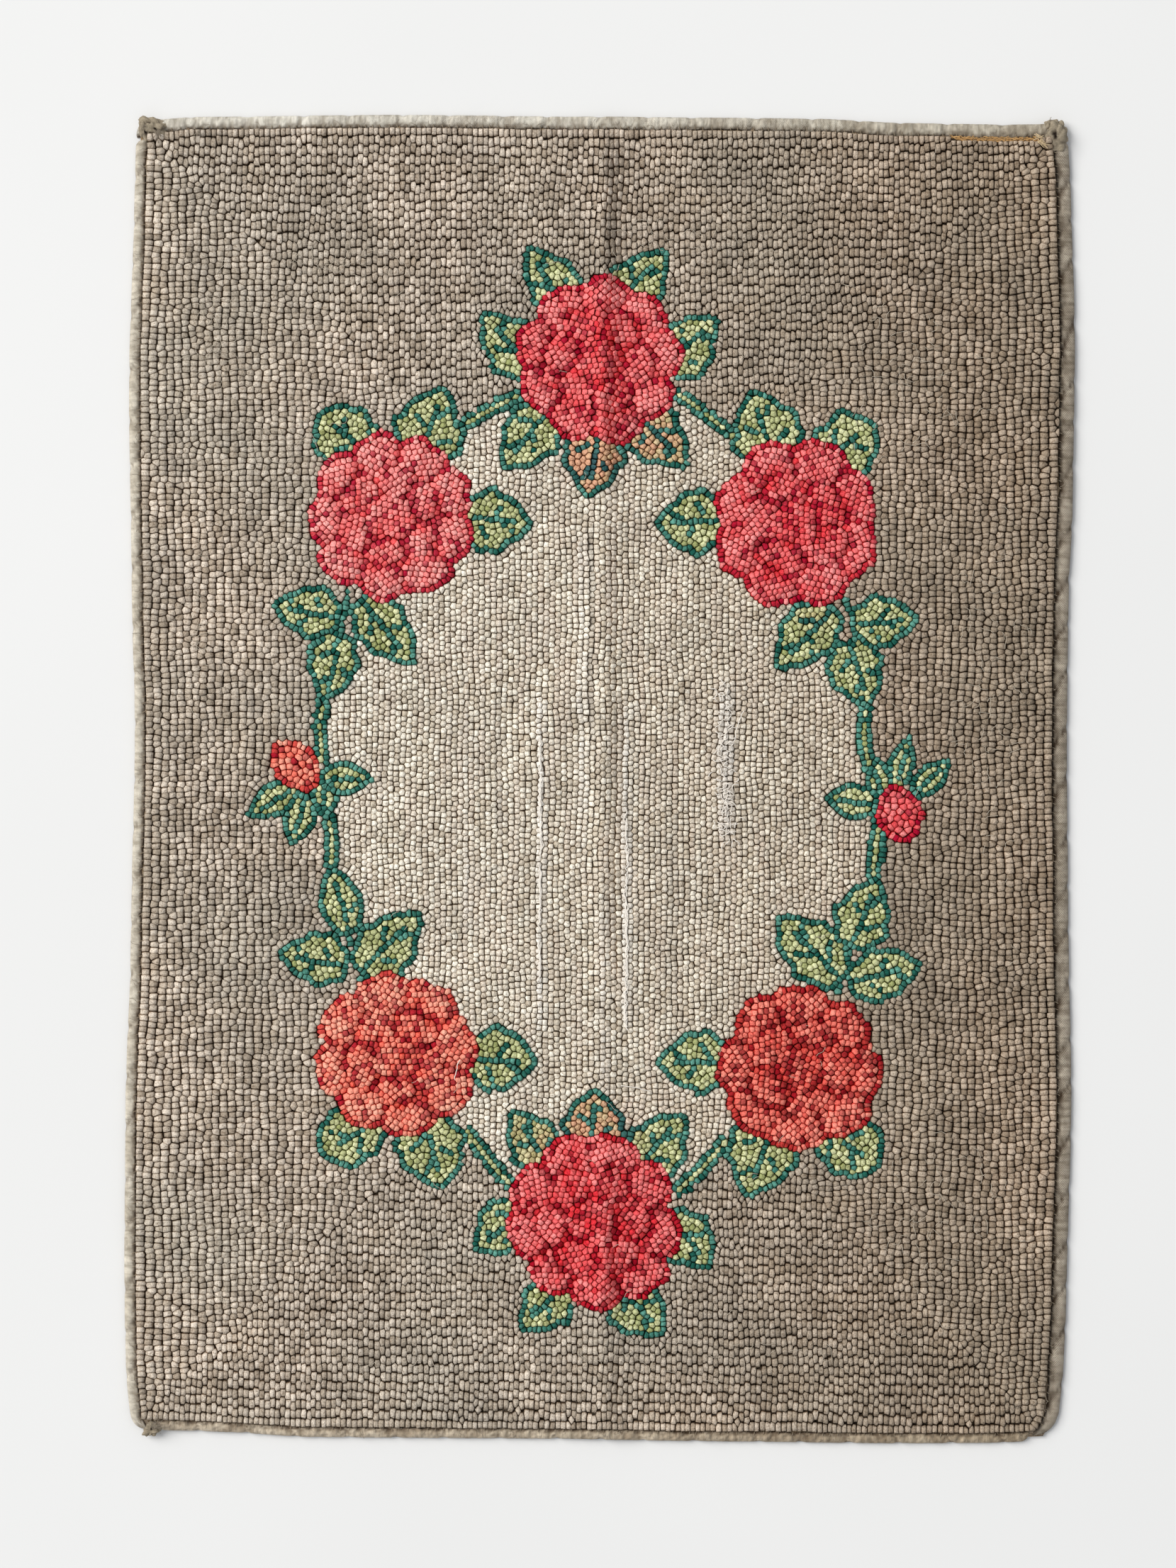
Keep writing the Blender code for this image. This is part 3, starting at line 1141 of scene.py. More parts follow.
# ---- where every loop goes --------------------------------------------------------------
class LoopLayout:
    """Places the loops: motifs first, then their echo rows, then the straight rows."""

    MOTIF = 0.0040
    SIDE_ROW = 0.0058
    SIDE_PITCH = 0.0043
    END_ROW = 0.0068
    END_PITCH = 0.0039
    STAGGER = 0.40
    TALL = 2.0
    COLUMN = 0.00425
    KNOB = 0.0043
    PETAL_LINE = 0.0034
    PETAL_STEP = 0.0051
    RIM_PITCH, RIM_INSET, RIM_JOG = 0.0034, 0.0012, 0.0005
    BUD_PITCH = 0.0036
    TEAL_JOG = 0.0003
    ECHO, ROSE_ECHO = 0.0043, 0.0021
    FIRST_ROW = 0.0031
    CLEAR_RIM, CLEAR_BUD, CLEAR_PETAL, CLEAR_ECHO = 0.0026, 0.0028, 0.0027, 0.0034
    CLEAR_TEAL, CLEAR_VEIN, CLEAR_KNOB = 0.0029, 0.0033, 0.0029
    CLEAR_SIDE, CLEAR_END, CLEAR_TAPE = 0.0026, 0.0023, 0.0012
    NARROWEST, WIDEST = 0.0008, 0.0043
    CELL = 0.001
    BUCKET = 0.006
    BLOCK = 0.0085
    SPARE = {Yarn.GROUND: 0.0047, Yarn.IVORY: 0.0037, Yarn.ROSE: 0.0037, Yarn.LEAF: 0.0032}

    def __init__(self, shape: RugShape, design: Design) -> None:
        """Lay out every loop.

        Args:
            shape: the rug's edges and heights.
            design: the pattern's regions.
        """
        self.shape, self.design = shape, design
        self.random = random.Random(SEED)
        self.x, self.y, self.yarn, self.owner, self.steady = [], [], [], [], []
        self.buckets = {}
        self.motif_lines()
        self.motif_fill()
        self.echo_rows()
        self.ground_rows()
        self.medallion_columns()
        self.settle()

    # -- basic placing
    def add(self, x: float, y: float, yarn: Yarn, owner: int, steady: float) -> None:
        """Put one loop down; steady is how firmly it keeps its place, from 0 to 1.

        Args:
            x: the place.
            y: the place.
            yarn: what the loop is hooked with.
            owner: the region that the loop belongs to.
            steady: how firmly it keeps its place, from 0 to 1.
        """
        key = (int(x // self.BUCKET), int(y // self.BUCKET))
        self.buckets.setdefault(key, []).append(len(self.x))
        self.x.append(x)
        self.y.append(y)
        self.yarn.append(yarn.value)
        self.owner.append(owner)
        self.steady.append(steady)

    def crowded(self, x: float, y: float, distance: float) -> bool:
        """True if a loop is already nearer than a distance.

        Args:
            x: the place.
            y: the place.
            distance: how near is too near.

        Returns:
            True if there is one.
        """
        column, row = int(x // self.BUCKET), int(y // self.BUCKET)
        limit = distance * distance
        for i in (column - 1, column, column + 1):
            for j in (row - 1, row, row + 1):
                for index in self.buckets.get((i, j), ()):
                    if (self.x[index] - x) ** 2 + (self.y[index] - y) ** 2 < limit:
                        return True
        return False

    # -- motifs
    def motif_lines(self) -> None:
        """Rims of the roses, then teal outlines, stalks and veins."""
        for index, rose in enumerate(ROSES):
            rim = rose.rim([math.tau * step / 96 for step in range(96)], -self.RIM_INSET)
            for x, y in smooth_line(rim, self.RIM_PITCH, True):
                x += self.random.uniform(-self.RIM_JOG, self.RIM_JOG)
                y += self.random.uniform(-self.RIM_JOG, self.RIM_JOG)
                if not self.crowded(x, y, self.CLEAR_RIM):
                    self.add(x, y, Yarn.ROSE_RIM, Design.ROSE + index, 0.8)
        for index, (bud, _dye) in enumerate(BUDS):
            for x, y in smooth_line(bud.outline(), self.BUD_PITCH, True):
                if not self.crowded(x, y, self.CLEAR_BUD):
                    self.add(x, y, Yarn.ROSE_RIM, Design.BUD + index, 0.7)
        for index, leaf in enumerate(LEAVES):
            outline = smooth_line(leaf.outline(), self.MOTIF * 0.95, True)
            self.teal_row(outline, index, self.CLEAR_TEAL)
        for stem in STEMS:
            for row in stem.rows():
                self.teal_row(row, -1, self.CLEAR_TEAL)
        for index, leaf in enumerate(LEAVES):
            for line in leaf.vein_lines():
                self.teal_row(smooth_line(line, self.MOTIF, False), index, self.CLEAR_VEIN)

    def teal_row(self, points: list[Point], leaf: int, clear: float) -> None:
        """One row of teal loops, left out where a rose or an earlier loop is.

        Args:
            points: places along the row.
            leaf: the leaf's number, or -1 for a stalk.
            clear: least distance to an earlier loop.
        """
        for x, y in points:
            region = self.design.at(x, y)
            if Design.ROSE <= region < Design.STEM:
                continue
            x += self.random.uniform(-self.TEAL_JOG, self.TEAL_JOG)
            y += self.random.uniform(-self.TEAL_JOG, self.TEAL_JOG)
            if not self.crowded(x, y, clear):
                self.add(x, y, Yarn.TEAL, Design.LEAF + leaf if leaf >= 0 else Design.STEM, 0.6)

    def motif_fill(self) -> None:
        """Rows of loops along each petal, then close filling of hearts, leaves and buds."""
        for index, rose in enumerate(ROSES):
            self.petal_rows(rose, index, rose.petals, rose.turn, rose.OUTER, 1.0)
            self.petal_rows(rose, index, rose.inner, rose.inner_turn, rose.INNER, rose.OUTER)
            self.petal_rows(rose, index, 2, 1.1 - rose.turn, 0.0, rose.INNER)
        rows, columns = np.nonzero(self.design.region >= Design.LEAF)
        cells = list(zip(rows.tolist(), columns.tolist()))
        self.random.shuffle(cells)
        for row, column in cells:
            x, y = self.design.xs[column], self.design.ys[row]
            region = int(self.design.region[row, column])
            yarn = Yarn.ROSE if Design.ROSE <= region < Design.STEM else Yarn.LEAF
            if self.crowded(x, y, self.SPARE[yarn]):
                continue
            self.add(float(x), float(y), yarn, region, 0.0)

    def petal_rows(self, rose: Rose, index: int, count: int, phase: float, low: float,
                   high: float) -> None:
        """Straight rows of loops that point out along each petal of one ring.

        Args:
            rose: the rose.
            index: the motif's number.
            count: petals in the ring.
            phase: heading of the first petal.
            low: part of the radius where the ring starts.
            high: part of the radius where it ends.
        """
        for petal in range(count):
            heading = phase + math.tau * petal / count
            out_x, out_y = math.cos(heading), math.sin(heading)
            for line in range(-9, 10):
                for step in range(int(rose.radius / self.PETAL_STEP) + 1):
                    side = line * self.PETAL_LINE + self.random.uniform(-0.00025, 0.00025)
                    far = (step + 0.5 * (line % 2)) * self.PETAL_STEP
                    far += self.random.uniform(-0.0007, 0.0007)
                    x = rose.x + out_x * far - out_y * side
                    y = rose.y + out_y * far + out_x * side
                    out, angle = math.hypot(far, side), heading + math.atan2(side, far)
                    if rose.petal(angle, count, phase)[0] != petal:
                        continue
                    start = rose.ring(angle, low, rose.inner if low > 0.4 else 3) if low else 0
                    end = rose.reach(angle) - 0.0036 if high == 1.0 else \
                        rose.ring(angle, high, rose.inner if high > 0.4 else 3)
                    if start - 0.0004 < out < end and not self.crowded(x, y, self.CLEAR_PETAL):
                        self.add(x, y, Yarn.ROSE, Design.ROSE + index, 0.55)

    def echo_rows(self) -> None:
        """A row of plain loops that follows each motif's outside."""
        lines = []
        for rose in ROSES:
            lines.append(rose.rim(np.linspace(0, math.tau, 60, endpoint=False), self.ROSE_ECHO))
        for leaf in LEAVES:
            outline = leaf.outline()
            middle = Vector((0.0, 0.0))
            for point in outline:
                middle += Vector(point) / len(outline)
            grown = []
            for point in outline:
                away = Vector(point) - middle
                grown.append(tuple(middle + away * (1 + self.ECHO / max(away.length, 0.004))))
            lines.append(grown)
        for line in lines:
            for x, y in smooth_line(line, self.ECHO, True):
                region = self.design.at(x, y)
                if region > Design.IVORY or self.crowded(x, y, self.CLEAR_ECHO):
                    continue
                yarn = Yarn.IVORY if region == Design.IVORY else Yarn.GROUND
                self.add(x, y, yarn, region, 0.3)

    # -- straight rows
    def wander(self, x: float, y: float, layer: float) -> float:
        """How far a straight row strays sideways."""
        return 0.0024 * drift(x, y, 0.060, layer + 0.4) + 0.0008 * drift(x, y, 0.014, layer + 5.7)

    def ground_rows(self) -> None:
        """Rows parallel to the nearest edge, meeting at mitred corners."""
        for edge in self.shape.edges:
            reach = self.shape.high.x if edge.upright else self.shape.high.y
            deep = self.SIDE_ROW if edge.upright else self.END_ROW
            depth, row, slip = self.FIRST_ROW, 0, 0.0
            while depth < reach:
                slip += self.random.uniform(-1, 1) * (0.24 if edge.upright else 0.12)
                self.ground_row(edge, depth, row, slip)
                row += 1
                depth += deep * (1.08 if row < 3 else 1.0)

    def ground_row(self, edge: Edge, depth: float, row: int, slip: float) -> None:
        """One row of the ground.

        Args:
            edge: the edge that the row follows.
            depth: how far in from that edge's tape it runs.
            row: how many rows lie between it and the tape.
            slip: how far its loops are shifted along it, in loops.
        """
        line = self.shape.edges[edge]
        half = self.shape.high.y if edge.upright else self.shape.high.x
        layer = edge.outward * 3 + edge.upright
        middle = float(line.face(0.0))
        pitch = self.SIDE_PITCH if edge.upright else self.END_PITCH
        deep = self.SIDE_ROW if edge.upright else self.END_ROW
        loose = 0.17 if edge.upright else 0.10
        clear = self.CLEAR_SIDE if edge.upright else self.CLEAR_END
        straight = 1 - math.exp(-depth / 0.05)
        for step in range(int(2 * half / pitch) + 1):
            along = -half + (step + 0.5) * pitch
            along += pitch * (slip + 0.6 * drift(along, depth, 0.060, layer + 9.3)
                              + 0.12 * drift(along, depth, 0.013, layer + 4.3)
                              + self.random.uniform(-0.10, 0.10))
            off = depth + self.wander(along, depth, layer)
            if not edge.upright and row > 0:
                off += deep * self.STAGGER * ((step * GOLDEN) % 1 - 0.45)
            off += deep * (self.random.uniform(-loose, loose)
                           + 0.30 * drift(along, depth, 0.010, layer + 2.6)) * (row > 0)
            if edge is Edge.TOP and float(self.shape.seam(along)):
                off += self.shape.SEAM_CLEAR * math.exp(-depth / 0.010)
            face = float(line.face(along))
            across = (face + (middle - face) * straight - off) * edge.outward
            x, y = (across, along) if edge.upright else (along, across)
            if self.on_ground(x, y, edge) and not self.crowded(x, y, clear):
                self.add(x, y, Yarn.GROUND, Design.GROUND, 0.9)

    def on_ground(self, x: float, y: float, edge: Edge) -> bool:
        """True if a place is plain ground in the band of one edge, clear of its tape.

        Args:
            x: the place.
            y: the place.
            edge: one edge of the rug.

        Returns:
            True if a ground loop may go there.
        """
        if abs(x) > self.shape.high.x or abs(y) > self.shape.high.y:
            return False
        if self.design.at(x, y) != Design.GROUND:
            return False
        nearest, inside_by = self.shape.nearest_edge(x, y)
        return nearest is edge and inside_by >= self.CLEAR_TAPE

    def medallion_columns(self) -> None:
        """Upright columns of smaller knobs inside the wreath."""
        column = -0.215
        while column < 0.215:
            y = -0.36 + self.random.uniform(0, self.KNOB)
            while y < 0.34:
                x = column + self.wander(column, y, 20.0) + self.random.uniform(-0.0006, 0.0006)
                if self.design.at(x, y) == Design.IVORY and not self.crowded(
                        x, y, self.CLEAR_KNOB):
                    self.add(x, y, Yarn.IVORY, Design.IVORY, 0.8)
                y += self.KNOB * self.random.uniform(0.74, 1.26)
            column += self.COLUMN

    # -- filling gaps and easing the loops apart
    def label(self, step: float, reach: float) -> tuple[np.ndarray, np.ndarray, tuple]:
        """Which loop is nearest to each cell of a grid.

        Args:
            step: the grid's cell size.
            reach: how far a loop may claim cells.

        Returns:
            The nearest loop per cell (-1 off the pile), its distance, and the grid's origin
            and step.
        """
        low, high = self.shape.low, self.shape.high
        columns, rows = int((high.x - low.x) / step) + 1, int((high.y - low.y) / step) + 1
        xs, ys = np.array(self.x), np.array(self.y)
        home_c = np.rint((xs - low.x) / step).astype(int)
        home_r = np.rint((ys - low.y) / step).astype(int)
        best = np.full(rows * columns, reach * reach)
        owner = np.full(rows * columns, -1, dtype=np.int32)
        span = int(math.ceil(reach / step))
        indices = np.arange(len(xs), dtype=np.int32)
        for dr in range(-span, span + 1):
            for dc in range(-span, span + 1):
                if (dr * dr + dc * dc) * step * step > (reach + step) ** 2:
                    continue
                c, r = home_c + dc, home_r + dr
                ok = (c >= 0) & (c < columns) & (r >= 0) & (r < rows)
                far = (low.x + c * step - xs) ** 2 + (low.y + r * step - ys) ** 2
                flat = np.where(ok, r * columns + c, 0)
                closer = ok & (far < best[flat])
                best[flat[closer]] = far[closer]
                owner[flat[closer]] = indices[closer]
        pile = self.shape.pile(low.x + np.arange(columns) * step,
                               low.y + np.arange(rows) * step)
        owner = np.where(pile, owner.reshape(rows, columns), -1)
        far = np.where(pile, np.sqrt(best).reshape(rows, columns), 0.0)
        return owner, far, (low, step)

    def settle(self) -> None:
        """Fill the gaps that are left, then ease the free loops to the middle of their room."""
        for _round in range(2):
            _owner, far, (low, step) = self.label(self.CELL, 0.0065)
            rows, columns = np.nonzero(far > min(self.SPARE.values()))
            order = np.argsort(-far[rows, columns], kind="stable")
            for k in order.tolist():
                x = low.x + int(columns[k]) * step
                y = low.y + int(rows[k]) * step
                region = self.design.at(x, y)
                yarn = {Design.GROUND: Yarn.GROUND, Design.IVORY: Yarn.IVORY}.get(region)
                if yarn is None:
                    yarn = Yarn.ROSE if Design.ROSE <= region < Design.STEM else Yarn.LEAF
                if not self.crowded(x, y, self.SPARE[yarn]):
                    self.add(x, y, yarn, region, 0.0)
            self.ease(self.CELL)
        self.ease(self.CELL)

    def ease(self, step: float) -> None:
        """Move each loop part of the way to the middle of its cell.

        Args:
            step: the grid's cell size.
        """
        owner, _far, (low, _step) = self.label(step, 0.0050)
        rows, columns = np.nonzero(owner >= 0)
        ids = owner[rows, columns]
        count = np.maximum(np.bincount(ids, minlength=len(self.x)), 1)
        mean_x = np.bincount(ids, low.x + columns * step, len(self.x)) / count
        mean_y = np.bincount(ids, low.y + rows * step, len(self.x)) / count
        give = 1 - np.array(self.steady)
        xs, ys = np.array(self.x), np.array(self.y)
        self.x = (xs + (mean_x - xs) * give * 0.9).tolist()
        self.y = (ys + (mean_y - ys) * give * 0.9).tolist()
        self.buckets = {}
        for index, (x, y) in enumerate(zip(self.x, self.y)):
            key = (int(x // self.BUCKET), int(y // self.BUCKET))
            self.buckets.setdefault(key, []).append(index)

    def room(self, directions: int) -> np.ndarray:
        """How far each loop may spread in each direction before it meets a neighbour.

        Args:
            directions: how many even directions to measure.

        Returns:
            One row of distances for each loop.
        """
        xs, ys = np.array(self.x), np.array(self.y)
        in_end = np.array([yarn == Yarn.GROUND.value and
                           not self.shape.nearest_edge(x, y)[0].upright
                           for x, y, yarn in zip(self.x, self.y, self.yarn)])
        headings = np.arange(directions) * math.tau / directions
        ux, uy = np.cos(headings)[None, :], np.sin(headings)[None, :]
        spread = self.tape_room(xs, ys, ux, uy)
        column = ((xs - self.shape.low.x) / self.BLOCK).astype(int) + 1
        row = ((ys - self.shape.low.y) / self.BLOCK).astype(int) + 1
        wide = int(column.max()) + 2
        key = row * wide + column
        order = np.argsort(key, kind="stable")
        first = np.searchsorted(key[order], np.arange((int(row.max()) + 2) * wide + 1))
        most = int(np.diff(first).max())
        for near in [key + dr * wide + dc for dr in (-1, 0, 1) for dc in (-1, 0, 1)]:
            for turn in range(most):
                picked = first[near] + turn
                ids = np.nonzero(picked < first[near + 1])[0]
                other = order[picked[ids]]
                ids, other = ids[other != ids], other[other != ids]
                dx, dy = xs[other] - xs[ids], ys[other] - ys[ids]
                tall = np.where(in_end[ids] & in_end[other], self.TALL ** 2, 1.0)
                toward = (tall * dx)[:, None] * ux + dy[:, None] * uy
                half = (tall * dx * dx + dy * dy)[:, None] / 2
                limit = np.where(toward > 1e-6, half / np.maximum(toward, 1e-6), 1.0)
                spread[ids] = np.minimum(spread[ids], limit)
        return np.clip(spread, self.NARROWEST, self.WIDEST)

    def tape_room(self, xs: np.ndarray, ys: np.ndarray, ux: np.ndarray,
                  uy: np.ndarray) -> np.ndarray:
        """How far each loop may spread in each direction before it meets a tape.

        Args:
            xs: places along X.
            ys: places along Y.
            ux: the directions along X.
            uy: the directions along Y.

        Returns:
            One row of distances for each loop.
        """
        spread = np.full((len(xs), ux.shape[1]), 1.0)
        for edge, line in self.shape.edges.items():
            along, across = (ys, xs) if edge.upright else (xs, ys)
            depth = line.face(along) - across * edge.outward - self.shape.CLEAR
            if edge is Edge.TOP:
                depth = depth - self.shape.seam(xs)
            out = (ux if edge.upright else uy) * edge.outward
            limit = np.maximum(depth, 0.0006)[:, None] / np.maximum(out, 1e-6)
            spread = np.where(out > 1e-6, np.minimum(spread, limit), spread)
        return spread


# ---- colours of the loops ---------------------------------------------------------------
@dataclass(frozen=True)
class DyePot:
    """The rug's wools, and how age, rubbing and bleeding have changed them, with painted shade on
    the medallion's sunk lines.
    """

    ground_light: Colour = linear(228, 214, 198)
    ground_deep: Colour = linear(170, 154, 136)
    ground_cool: Colour = linear(182, 175, 161)
    ground_tan: Colour = linear(186, 168, 146)
    ivory_light: Colour = linear(255, 248, 233)
    ivory_deep: Colour = linear(208, 195, 175)
    # The worn colour is the pale of the worn lines, partly a painted highlight on their raised
    # columns.
    worn: Colour = linear(247, 242, 234)
    aged: Colour = (0.72, 0.665, 0.61)
    teal_light: Colour = linear(104, 166, 150)
    teal_deep: Colour = linear(30, 92, 80)
    slate: Colour = linear(58, 92, 96)
    leaf_light: Colour = linear(228, 230, 182)
    leaf_deep: Colour = linear(160, 166, 108)
    blush: Colour = linear(222, 170, 138)
    pink_stain: Colour = linear(232, 190, 170)

    # x, low end, high end, half width, and how worn and pale, partly a painted highlight (above
    # zero), or sunk with painted shade (below)
    WORN_AND_SUNK_LINES = (
        (-0.044, -0.195, 0.070, 0.0035, 0.9), (0.020, -0.190, 0.068, 0.0035, 1.0),
        (-0.006, 0.020, 0.200, 0.0028, -0.9), (-0.013, -0.060, 0.190, 0.0040, 0.6),
        (0.094, -0.050, 0.078, 0.0060, 1.7), (-0.100, -0.120, 0.060, 0.0040, 0.4),
        (0.055, -0.170, 0.020, 0.0040, -0.45), (-0.075, -0.060, 0.120, 0.0040, -0.4),
        (0.003, -0.240, -0.080, 0.0040, 0.5),
    )
    # middle x and y, half width, half length, strength
    RED_SPOTS = (
        (-0.006, 0.236, 0.034, 0.026, 0.9), (0.040, 0.252, 0.024, 0.024, 0.6),
        (0.014, -0.258, 0.030, 0.028, 0.6), (-0.018, -0.262, 0.020, 0.022, 0.6),
        (0.160, 0.122, 0.018, 0.016, 0.35), (-0.040, -0.276, 0.018, 0.020, 0.35),
    )

    def age(self, x: float, colour: Colour, share: float) -> Colour:
        """Wool browned towards the right side of the rug."""
        t = min(1.0, max(0.0, (x + 0.08) / 0.36)) * share
        return tuple(c * (1 - t + t * a) for c, a in zip(colour, self.aged))

    def worn_and_sunk_line(self, x: float, y: float) -> float:
        """Upright lines in the medallion: worn pale, partly a painted highlight on the raised
        columns (above zero), or sunk with painted shade (below).

        Args:
            x: the place.
            y: the place.

        Returns:
            How worn or sunk it is there.
        """
        total = 0.0
        for line_x, low, high, half, strength in self.WORN_AND_SUNK_LINES:
            sway = line_x + 0.0012 * drift(line_x, y, 0.03, 2.2)
            if low < y < high:
                fade = min(1.0, (y - low) / 0.02, (high - y) / 0.02)
                broken = 0.65 + 0.6 * drift(line_x, y, 0.016, 5.1)
                total += strength * fade * broken * hump(x - sway, half * 1.5)
        return total

    def ground(self, x: float, y: float, chance: float) -> Colour:
        """Taupe wool that changes tone along its rows.

        Args:
            x: the place.
            y: the place.
            chance: a number from 0 to 1 that picks the strand.

        Returns:
            The colour.
        """
        colour = blended(self.ground_deep, self.ground_light, chance)
        cool = 0.5 + 1.0 * drift(x, y, 0.09, 1.3)
        colour = blended(colour, self.ground_cool, 0.5 * min(1, max(0, cool)))
        side = abs(x) > 0.24
        tan = drift(x, y * 0.25, 0.010, 7.3) if side else drift(x * 0.25, y, 0.010, 7.3)
        colour = blended(colour, self.ground_tan, 0.35 * max(0.0, tan * 1.6))
        smudge = 1 + 0.20 * drift(x, y, 0.035, 3.7) + 0.16 * drift(x, y, 0.012, 3.9)
        return self.age(x, tuple(c * smudge for c in colour), 1.0)

    def ivory(self, x: float, y: float, chance: float) -> Colour:
        """Ivory wool, with worn upright lines, partly a painted highlight, painted shade on the
        sunk ones, and faint stains.

        Args:
            x: the place.
            y: the place.
            chance: a number from 0 to 1 that picks the strand.

        Returns:
            The colour.
        """
        colour = blended(self.ivory_deep, self.ivory_light, chance)
        shade = drift(x, y * 0.12, 0.006, 11.3)
        colour = blended(colour, self.ground_light, min(0.6, max(0.0, 0.12 + shade * 1.1)))
        smudge = 1 + 0.13 * drift(x, y, 0.030, 6.7)
        line = self.worn_and_sunk_line(x, y)
        # Worn lines turn pale, partly a painted highlight; sunk lines get painted shade.
        if line > 0:
            colour = blended(colour, self.worn, min(1.0, line * 1.2))
        else:
            smudge *= 1 + 0.45 * max(-1.0, line)
        return self.age(x, tuple(c * smudge for c in colour), 0.75)

    def bleed(self, x: float, y: float) -> float:
        """How much red dye has run into a place.

        Args:
            x: the place.
            y: the place.

        Returns:
            How much, from 0 to 1.
        """
        near = 0.0
        for spot_x, spot_y, half_x, half_y, strength in self.RED_SPOTS:
            near = max(near, strength * hump(x - spot_x, half_x) * hump(y - spot_y, half_y))
        return near

    def colour(self, yarn: int, owner: int, x: float, y: float, rand: random.Random) -> Colour:
        """Colour of one loop.

        Args:
            yarn: what the loop is hooked with.
            owner: the region that the loop belongs to.
            x: the place.
            y: the place.
            rand: where chances are drawn from.

        Returns:
            The colour.
        """
        chance = rand.random()
        red_run = self.bleed(x, y)
        if yarn == Yarn.GROUND.value:
            return blended(self.ground(x, y, chance), self.pink_stain, red_run * 0.35)
        if yarn == Yarn.IVORY.value:
            return blended(self.ivory(x, y, chance), self.pink_stain, red_run * chance)
        if yarn == Yarn.TEAL.value:
            colour = blended(self.teal_deep, self.teal_light, chance ** 1.3)
            return blended(colour, self.slate, min(1.0, red_run * 1.1))
        if yarn == Yarn.LEAF.value:
            colour = blended(self.leaf_deep, self.leaf_light, chance)
            own = LEAVES[owner - Design.LEAF].blush if Design.LEAF <= owner < Design.ROSE else 0
            share = min(1.0, (own + red_run * 0.6) * (0.5 + 0.8 * rand.random()))
            return blended(colour, self.blush, share)
        return self.rose(yarn, owner, x, y, chance, rand)

    def rose(self, yarn: int, owner: int, x: float, y: float, chance: float,
             rand: random.Random) -> Colour:
        """Colour of one loop of a rose or a bud.

        Args:
            yarn: what the loop is hooked with.
            owner: the region that the loop belongs to.
            x: the place.
            y: the place.
            chance: a number from 0 to 1 that picks the strand.
            rand: where chances are drawn from.

        Returns:
            The colour.
        """
        if owner >= Design.BUD:
            dye, crease, heart = BUDS[owner - Design.BUD][1], 0.0, 0.5
        else:
            rose = ROSES[owner - Design.ROSE]
            dye, crease = rose.dye, rose.crease(x, y)
            heart = math.hypot(x - rose.x, y - rose.y) / rose.radius
        tone = 0.30 + 0.55 * drift(x, y, 0.012, 4.3) + 0.55 * (chance - 0.5) - 0.7 * crease
        tone += 0.45 * min(1.0, heart)
        if yarn == Yarn.ROSE_RIM.value and rand.random() < dye.edging:
            return blended(dye.fleck, dye.deep, 0.7 * rand.random())
        colour = blended(dye.deep, dye.light, min(1.0, max(0.0, tone)))
        clump = 0.5 + drift(x, y, 0.0065, 8.6)
        likely = dye.tweed * (1.7 - heart) * (0.3 + 1.4 * clump) + 0.75 * crease
        if rand.random() < likely:
            colour = blended(colour, dye.fleck, 0.55 + 0.4 * rand.random())
        return colour


# ---- meshes -----------------------------------------------------------------------------
def piece_from(name: str, mesh: bpy.types.Mesh, material: bpy.types.Material) -> bpy.types.Object:
    """Make a piece of the rug from a finished mesh, riding on the rug's one body.

    Args:
        name: its name.
        mesh: the finished mesh.
        material: the finish.

    Returns:
        The piece.
    """
    obj = bpy.data.objects.new(name, mesh)
    bpy.context.scene.collection.objects.link(obj)
    mesh.materials.append(material)
    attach(obj, "root")
    return obj


def smooth_mesh(name: str, bm: bmesh.types.BMesh) -> bpy.types.Mesh:
    """Turn a modelled surface into a smooth mesh, and drop the model.

    Args:
        name: its name.
        bm: the modelled surface.

    Returns:
        The mesh.
    """
    mesh = bpy.data.meshes.new(name)
    bm.to_mesh(mesh)
    bm.free()
    mesh.shade_smooth()
    return mesh


def thicken(obj: bpy.types.Object, thickness: float, offset: float) -> None:
    """Give a sheet its thickness, upward for offset 1 and downward for -1.

    Args:
        obj: the piece.
        thickness: how thick it becomes.
        offset: 1 for upward, -1 for downward.
    """
    solid = obj.modifiers.new("thickness", "SOLIDIFY")
    solid.thickness = thickness
    solid.offset = offset


def report(obj: bpy.types.Object) -> None:
    """Log a finished piece and its triangles.

    Args:
        obj: the piece.
    """
    evaluated = obj.evaluated_get(bpy.context.evaluated_depsgraph_get())
    mesh = evaluated.to_mesh()
    triangles = sum(len(p.vertices) - 2 for p in mesh.polygons)
    evaluated.to_mesh_clear()
    LOG.info("%s: %d triangles", obj.name, triangles)


@dataclass
class Pillow:
    """One loop's shape: a closed foot, a rounded shoulder and a crown."""

    sides: int
    shoulder: float = 0.90
    shoulder_height: float = 0.80

    def mesh(self) -> tuple[np.ndarray, list[tuple[int, ...]]]:
        """Model one loop.

        Returns:
            Its vertices as (x, y, height from 0 to 1), and its faces.
        """
        bm = bmesh.new()
        bmesh.ops.create_circle(bm, cap_ends=True, segments=self.sides, radius=1.0)
        foot = list(bm.faces)
        raised = bmesh.ops.extrude_face_region(bm, geom=foot)["geom"]
        top = [item for item in raised if isinstance(item, bmesh.types.BMFace)]
        rim = [item for item in raised if isinstance(item, bmesh.types.BMVert)]
        bmesh.ops.scale(bm, vec=(self.shoulder, self.shoulder, 1.0), verts=rim)
        bmesh.ops.translate(bm, vec=(0.0, 0.0, self.shoulder_height), verts=rim)
        crown = bmesh.ops.poke(bm, faces=top)["verts"]
        for vertex in crown:
            vertex.co.z = 1.0
        bmesh.ops.recalc_face_normals(bm, faces=bm.faces)
        bm.verts.index_update()
        points = np.array([tuple(v.co) for v in bm.verts])
        faces = [tuple(v.index for v in f.verts) for f in bm.faces]
        bm.free()
        return points, faces


